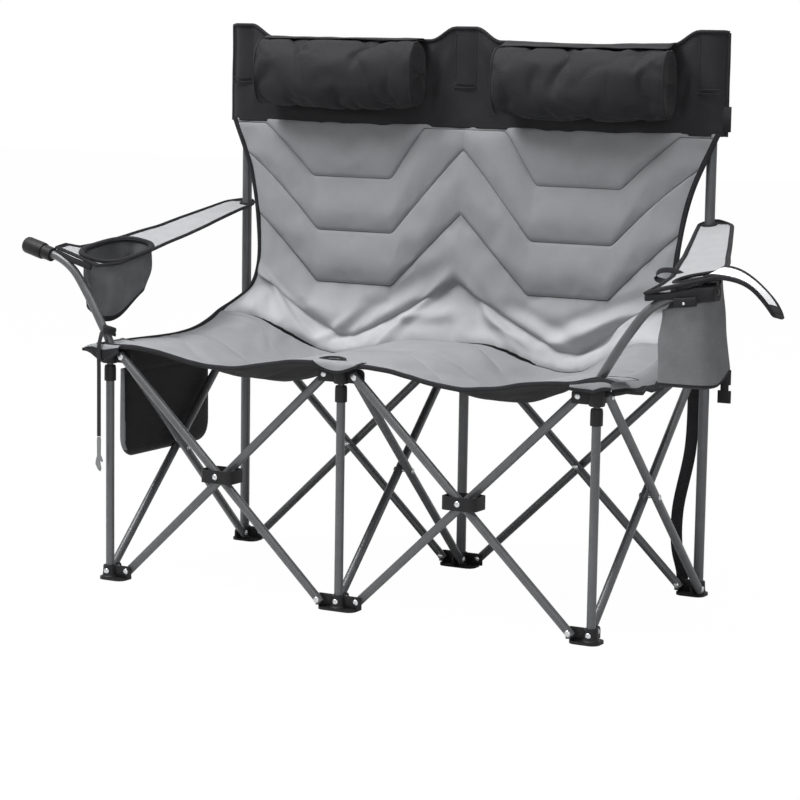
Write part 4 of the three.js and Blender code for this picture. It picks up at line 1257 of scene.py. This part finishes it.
for side, sign, front, hem_rows, rest_flat, rest_area in (
    ("left", -1, REST_FRONT + 11, 2, (0.14, 0.52), 0.033), ("right", 1, REST_FRONT, 7, (0.13, 0.52), 0.046)
):

    def rest_point(c, r, side=side, sign=sign, front=front):
        share = r / REST_ROWS
        y = lerp(front, REST_REAR, share)
        inner = between(rest_stops, rest_inner[side], share)
        outer = between(rest_stops, rest_outer[side], share)
        pull = 0.42 * max(0.0, (share - 0.93) / 0.07) ** 2.2
        inner, outer = lerp(inner, outer, pull), lerp(outer, inner, pull)
        out = lerp(inner, outer, (c if sign > 0 else REST_COLUMNS - c) / REST_COLUMNS)
        y += 0.13 * (out - inner) * (1 - share) ** 12
        return at(sign * (BAY + out), y, rest_top(side, out, y))

    def rest_paint(c, r, hem_rows=hem_rows):
        return 1 if c < 2 or c >= REST_COLUMNS - 2 or r < hem_rows or r >= REST_ROWS - 4 else 0

    def rest_spot(co, sign=sign):
        return sign * (co.x - middle_x) * 1000 - BAY, co.y * 1000

    mesh = bmesh.new()
    surface(mesh, REST_COLUMNS, REST_ROWS, rest_point, paint=rest_paint)
    outside = {v for v in mesh.verts if v.is_boundary}
    for hole in (rest_mouth[side], POST_EYE):
        x0, y0, _, _, skew = hole
        cut = [f for f in mesh.faces if in_mouth(hole, *rest_spot(f.calc_center_median())) < 0.97]
        bmesh.ops.delete(mesh, geom=cut, context="FACES")
        for vert in mesh.verts:
            near = in_mouth(hole, *rest_spot(vert.co))
            if vert.is_boundary and vert not in outside and near < 1.6:
                out, y = rest_spot(vert.co)
                rim_y = y0 + (y - y0) / near
                rim_out = x0 + skew * (rim_y - y0) + (out - x0 - skew * (y - y0)) / near
                vert.co = at(sign * (BAY + rim_out), rim_y, rest_top(side, rim_out, rim_y))
                outside.add(vert)
    strips = [(loop, UP, 0.0065, 0.007, 8) for loop in borders(mesh)]
    bmesh.ops.recalc_face_normals(mesh, faces=mesh.faces)
    face_up(mesh)
    hub = f"front_{side}_hub"
    name = f"{side}_armrest"
    rest = piece(
        f"{name}_sheet", mesh, [pale_cloth, binding_cloth], hub, [name], sharp=0, sheet=True
    )
    thickened(rest, 0.003)
    if side == "left":
        hem = [(130, -228), (112, -231), (90, -235), (66, -237), (44, FRONT)]
        hem_route = smooth_route([at(-BAY - out, y, rest_under(side, out, y) - 5) for out, y in hem], 24)
        strips.append((hem_route, UP, 0.012, 0.006))
    edge = banded(f"{name}_binding", strips, binding_cloth, hub)
    squash(FOLD_BACK, rest, edge)


# Arm roll. Black padded cloth sewn round the right arm tube and its grip, with a short flap in front
# that a press stud holds to the cooler.
ROLL_SIDES, ROLL_ROWS, ROLL_END = 32, 30, 3


def roll_point(c, r):
    angle = 2 * math.pi * c / ROLL_SIDES
    share = clamp((r - ROLL_END) / (ROLL_ROWS - 2 * ROLL_END))
    end = min(r, ROLL_ROWS - r)
    shrink = (0.02, 0.75, 0.95)[end] if end < ROLL_END else 1.0
    shrink *= 1 + 0.05 * noise.noise(Vector((share * 9, math.cos(angle) * 1.4, math.sin(angle) * 1.4)))
    wide = signed(math.cos(angle), 0.55) * lerp(12, 14.5, share) * shrink
    tall = signed(math.sin(angle), 0.55) * lerp(6.5, 13.5, ease(share, 0.3, 0.8)) * shrink
    out = lerp(88, 206, share) - ((2, 1.5, 0.8)[r] if r < ROLL_END else 0)
    return at(BAY + out, lerp(-240, -223, share) + wide, lerp(602.5, 614.5, share) + tall)


mesh = bag(ROLL_SIDES, ROLL_ROWS, roll_point)
flap_route = smooth_route([at(640, -250, 597), at(658, -248.6, 598), at(678, -246, 601)], 16)
band(mesh, flap_route, Vector((0, 0.12, 1)), 0.016, 0.003)
stud = at(657, -250.4, 596.4)
stud_profile = [(0, 1.4), (1.6, 1.2), (2.4, 0.5), (2.6, 0), (0, 0)]
turned(mesh, stud_profile, along(stud, stud - BACK), steps=16, material=1)
roll_looks = [black_cloth, bright_steel]
roll = piece("right_armrest_roll", mesh, roll_looks, "front_right_hub", sharp=0)
squash(FOLD_BACK, roll)


# Cup pouch. A dark grey cloth bag sewn under the left armrest's mouth, with a stiff black rim and
# a black binding round its slanted bottom, where the black also serves as painted shade under the bag.
dark_cloth = woven("dark_cloth", (0.095, 0.097, 0.102), spread=0.2, pitch=0.0014)
CUP_SIDES, CUP_WALL = 64, 14


def cup_point(c, r, grow=0.0):
    angle = 2 * math.pi * c / CUP_SIDES
    share = min(r / CUP_WALL, 1.0)
    shrink = (1.0, 0.92, 0.75, 0.4, 0.001)[max(r - CUP_WALL, 0)]
    way_x = signed(math.cos(angle), 2 / 2.8)
    way_y = signed(math.sin(angle), 2 / 2.8)
    fold = 1 + 0.12 * math.sin(math.pi * share) * math.sin(5 * angle + 0.6) * math.sin(2 * angle + 0.4)
    fold += 0.05 * math.sin(math.pi * share) * noise.noise(Vector((way_x * 2.2, way_y * 2.2, share * 2.5)))
    along_y = way_y * lerp(73 + grow, 66, share) * shrink * fold
    out = lerp(47, 51, share) + way_x * lerp(43 + grow, 40, share) * shrink * fold
    out -= 0.11 * along_y * (1 - share)
    y = lerp(-150, -148, share) + along_y
    foot = 483 + 48 * ease(y + 0.4 * (50 - out), -200, -84) + 20 * ease(out + 0.55 * (-150 - y), 70, 108)
    foot += 4 if shrink == 1.0 else -(1 - shrink) * 3
    return at(-(BAY + out), y, lerp(rest_under("left", out, y) + 2, foot, share))


# The bottom rows and the lowest row of the wall are black: partly the binding, partly painted shade under the
# bag.
mesh = bag(CUP_SIDES, CUP_WALL + 4, cup_point, paint=lambda c, r: 1 if r >= CUP_WALL - 1 else 0)
cup_looks = [dark_cloth, binding_cloth]
cup = piece("cup_pouch_bag", mesh, cup_looks, "front_left_hub", ["cup_pouch"], sharp=0)
finer(cup)
thickened(cup, 0.0018)
rim_route = [cup_point(c % CUP_SIDES, 0, 1.0) + Vector((0, 0, 0.003)) for c in range(CUP_SIDES + 1)]
cup_rim = banded("cup_pouch_rim", [(rim_route, UP, 0.009, 0.010, 10)], binding_cloth, "front_left_hub")
squash(FOLD_BACK, cup, cup_rim)


# Cooler pouch. A lined grey bag hung under the right arm roll, with soft rounded corners and a floor
# that rises to the rear.
cooler_cloth = woven("cooler_cloth", (0.125, 0.127, 0.132), spread=0.16, pitch=0.0015)
COOLER_SIDES, COOLER_WALL = 72, 18


def cooler_point(c, r):
    angle = 2 * math.pi * c / COOLER_SIDES
    share = 0.972 * r / (COOLER_WALL - 1) if r < COOLER_WALL else 1.0
    past = max(r - COOLER_WALL, 0)
    shrink = (1.0, 0.96, 0.86, 0.5, 0.001)[past]
    way_x = signed(math.cos(angle), 0.42)
    way_y = signed(math.sin(angle), 0.42)
    crumple = 5.0 * noise.noise(Vector((way_x * 1.6, way_y * 1.6, share * 2.2 + 4.2)))
    crumple = 9 * share + crumple * math.sin(math.pi * share) ** 0.5
    out = 150 + 6 * share**2 + (way_x * (43 + crumple) + 3 * share * way_y) * shrink
    y = -195 + way_y * (42.5 + 0.6 * crumple) * shrink
    low = 580 + REST_SLOPE * (out - 104)
    rim = lerp(low, rest_under("right", out, y) - 1, ease(y, -205, -160))
    foot = 457 + 26 * ease(y, -212, -150)
    return at(BAY + out, y, lerp(rim, foot, share) - (0, 0, 3, 5, 5)[past])


mesh = bag(COOLER_SIDES, COOLER_WALL + 4, cooler_point, paint=lambda c, r: 1 if r >= COOLER_WALL - 1 else 0)
cooler_looks = [cooler_cloth, binding_cloth]
cooler = piece(
    "cooler_pouch_bag", mesh, cooler_looks, "front_right_hub", ["cooler_pouch"], sharp=0
)
finer(cooler)
thickened(cooler, 0.0028)
squash(FOLD_BACK, cooler)


# Cooler lid. A padded flap, dark outside with a silvery lining, bound in black and turned out over
# the arm's end.
lining = woven("silver_lining", (0.8, 0.805, 0.815), spread=0.06, pitch=0.004, proud=0.0002, sheen=0.0)
LID_COLUMNS, LID_ROWS, LID_HINGE = 27, 14, 3
LID_LONG, LID_WIDE, LID_Y = 128, 76, -195


def lid_point(c, r):
    share = (c - LID_HINGE) / (LID_COLUMNS - LID_HINGE)
    past = max(share, 0.0)
    y = LID_Y + LID_WIDE * (1 - 0.45 * past**4) * (r / LID_ROWS - 0.5)
    hinge = rest_under("right", 193, y) + 7.75 - 16 * (min(share, 0.0) / 0.125) ** 2
    sway = 0.55 * past
    crown = 1.5 * math.sin(math.pi * past) * math.sin(math.pi * r / LID_ROWS)
    twist = 0.3 * (y - LID_Y) * ease(share, 0.05, 0.7)
    z = hinge - LID_LONG * share * math.sin(sway) + 2.5 + crown - twist
    return at(BAY + 193 + LID_LONG * share * math.cos(sway), y, z)


def lid_paint(c, r):
    return 2 if c == 0 or c >= 24 or r < 2 or r >= 12 else 0


mesh = bmesh.new()
surface(mesh, LID_COLUMNS, LID_ROWS, lid_point, paint=lid_paint)
strips = [([p - Vector((0, 0, 0.0026)) for p in loop], UP, 0.0075, 0.006, 8) for loop in borders(mesh)]
lid_looks = [lining, dark_cloth, binding_cloth]
lid = piece(
    "cooler_lid_flap", mesh, lid_looks, "cooler_lid", ["cooler_lid"], sharp=0, sheet=True
)
thickened(lid, 0.0055, lining=1, rim=2)
squash(FOLD_BACK, lid, banded("cooler_lid_binding", strips, binding_cloth, "cooler_lid"))


# Elastic loop. A black elastic ribbon with both ends sewn into the right armrest's inner edge, beside
# its mouth.
loop_points = [
    at(604, -122, 620), at(582, -122, 618), at(552, -121, 623), at(555, -119, 634), at(576, -118, 638),
    at(597, -118, 632), at(606, -118, 624),
]
loop_strip = (smooth_route(loop_points, 40), Vector((0, 0.55, 1)), 0.010, 0.0016)
loop = banded("elastic_loop", [loop_strip], binding_cloth, "front_right_hub")
squash(FOLD_BACK, loop)


# Strap buckle. Black nylon side-release buckle that hangs on webbing from the right rear hub, outside
# the post.
mesh = bmesh.new()
rounded_plate(mesh, at(519, 256, 396), at(543, 264, 424), 0.0035, steps=4, edge=0.002)
rounded_plate(mesh, at(523, 257, 384), at(539, 263, 397), 0.0028, steps=4, edge=0.0018)
rounded_plate(mesh, at(518, 256, 362), at(544, 264, 385), 0.0035, steps=4, edge=0.002)
buckle_points = [at(531, 260, 416), at(530, 258.5, 425), at(521, 253, 431), at(509, 248.5, 430)]
band(mesh, smooth_route(buckle_points, 16), Vector((0.2, 0, 1)), 0.020, 0.002)
piece("carry_strap_buckle", mesh, [black_nylon], "rear_right_hub")


# Side pocket. A flat black pouch with a grey outer face, hung from the seat's left edge by an
# apron, open along its top.
POCKET_SIDES, POCKET_ROWS = 72, 20
APRON_COLUMNS, APRON_DROP = 40, 6


def pocket_point(c, r):
    angle = 2 * math.pi * c / POCKET_SIDES
    share = r / POCKET_ROWS
    z = lerp(388, 217, math.sin(share * math.pi / 2))
    low = max(0.0, (257 - z) / 40)
    half = 147 - 34 * (1 - math.sqrt(max(0.0, 1 - low**2)))
    thick = 9.8 * math.sqrt(max(0.0, 1 - max(0.0, (235 - z) / 18) ** 2))
    thick *= 0.8 + 0.2 * math.sin(math.pi * share)
    way_y = signed(math.cos(angle), 0.16)
    way_x = signed(math.sin(angle), 0.5)
    return at(-533 + way_x * max(thick, 0.4), -5 + way_y * half, z)


def apron_point(c, r):
    y = lerp(-152, 142, c / APRON_COLUMNS)
    past = r - APRON_DROP
    if past < 0:
        return at(-524.5 - 0.9 * math.sin(math.pi * r / 8), y, lerp(380, 436, r / APRON_DROP))
    return at((-523, -512, -494)[past], y, (439.4, 440.2, 440.2)[past])


mesh = bag(POCKET_SIDES, POCKET_ROWS, pocket_point)
bmesh.ops.recalc_face_normals(mesh, faces=mesh.faces)
for face in mesh.faces:
    outward = face.normal.x < -0.4 or face.normal.y < -0.6
    face.material_index = 1 if outward and face.calc_center_median().z > 0.232 else 0
pocket_looks = [black_cloth, cooler_cloth]
pocket = piece(
    "side_pocket_pouch", mesh, pocket_looks, "front_left_hub", ["side_pocket"], sharp=0
)
thickened(pocket, 0.0015)
mesh = bmesh.new()
surface(mesh, APRON_COLUMNS, APRON_DROP + 2, apron_point)
apron = piece("side_pocket_apron", mesh, [black_cloth], "front_left_hub", sharp=0, sheet=True)
thickened(apron, 0.0015, side=0.0)
squash(FOLD_BACK, pocket, apron)
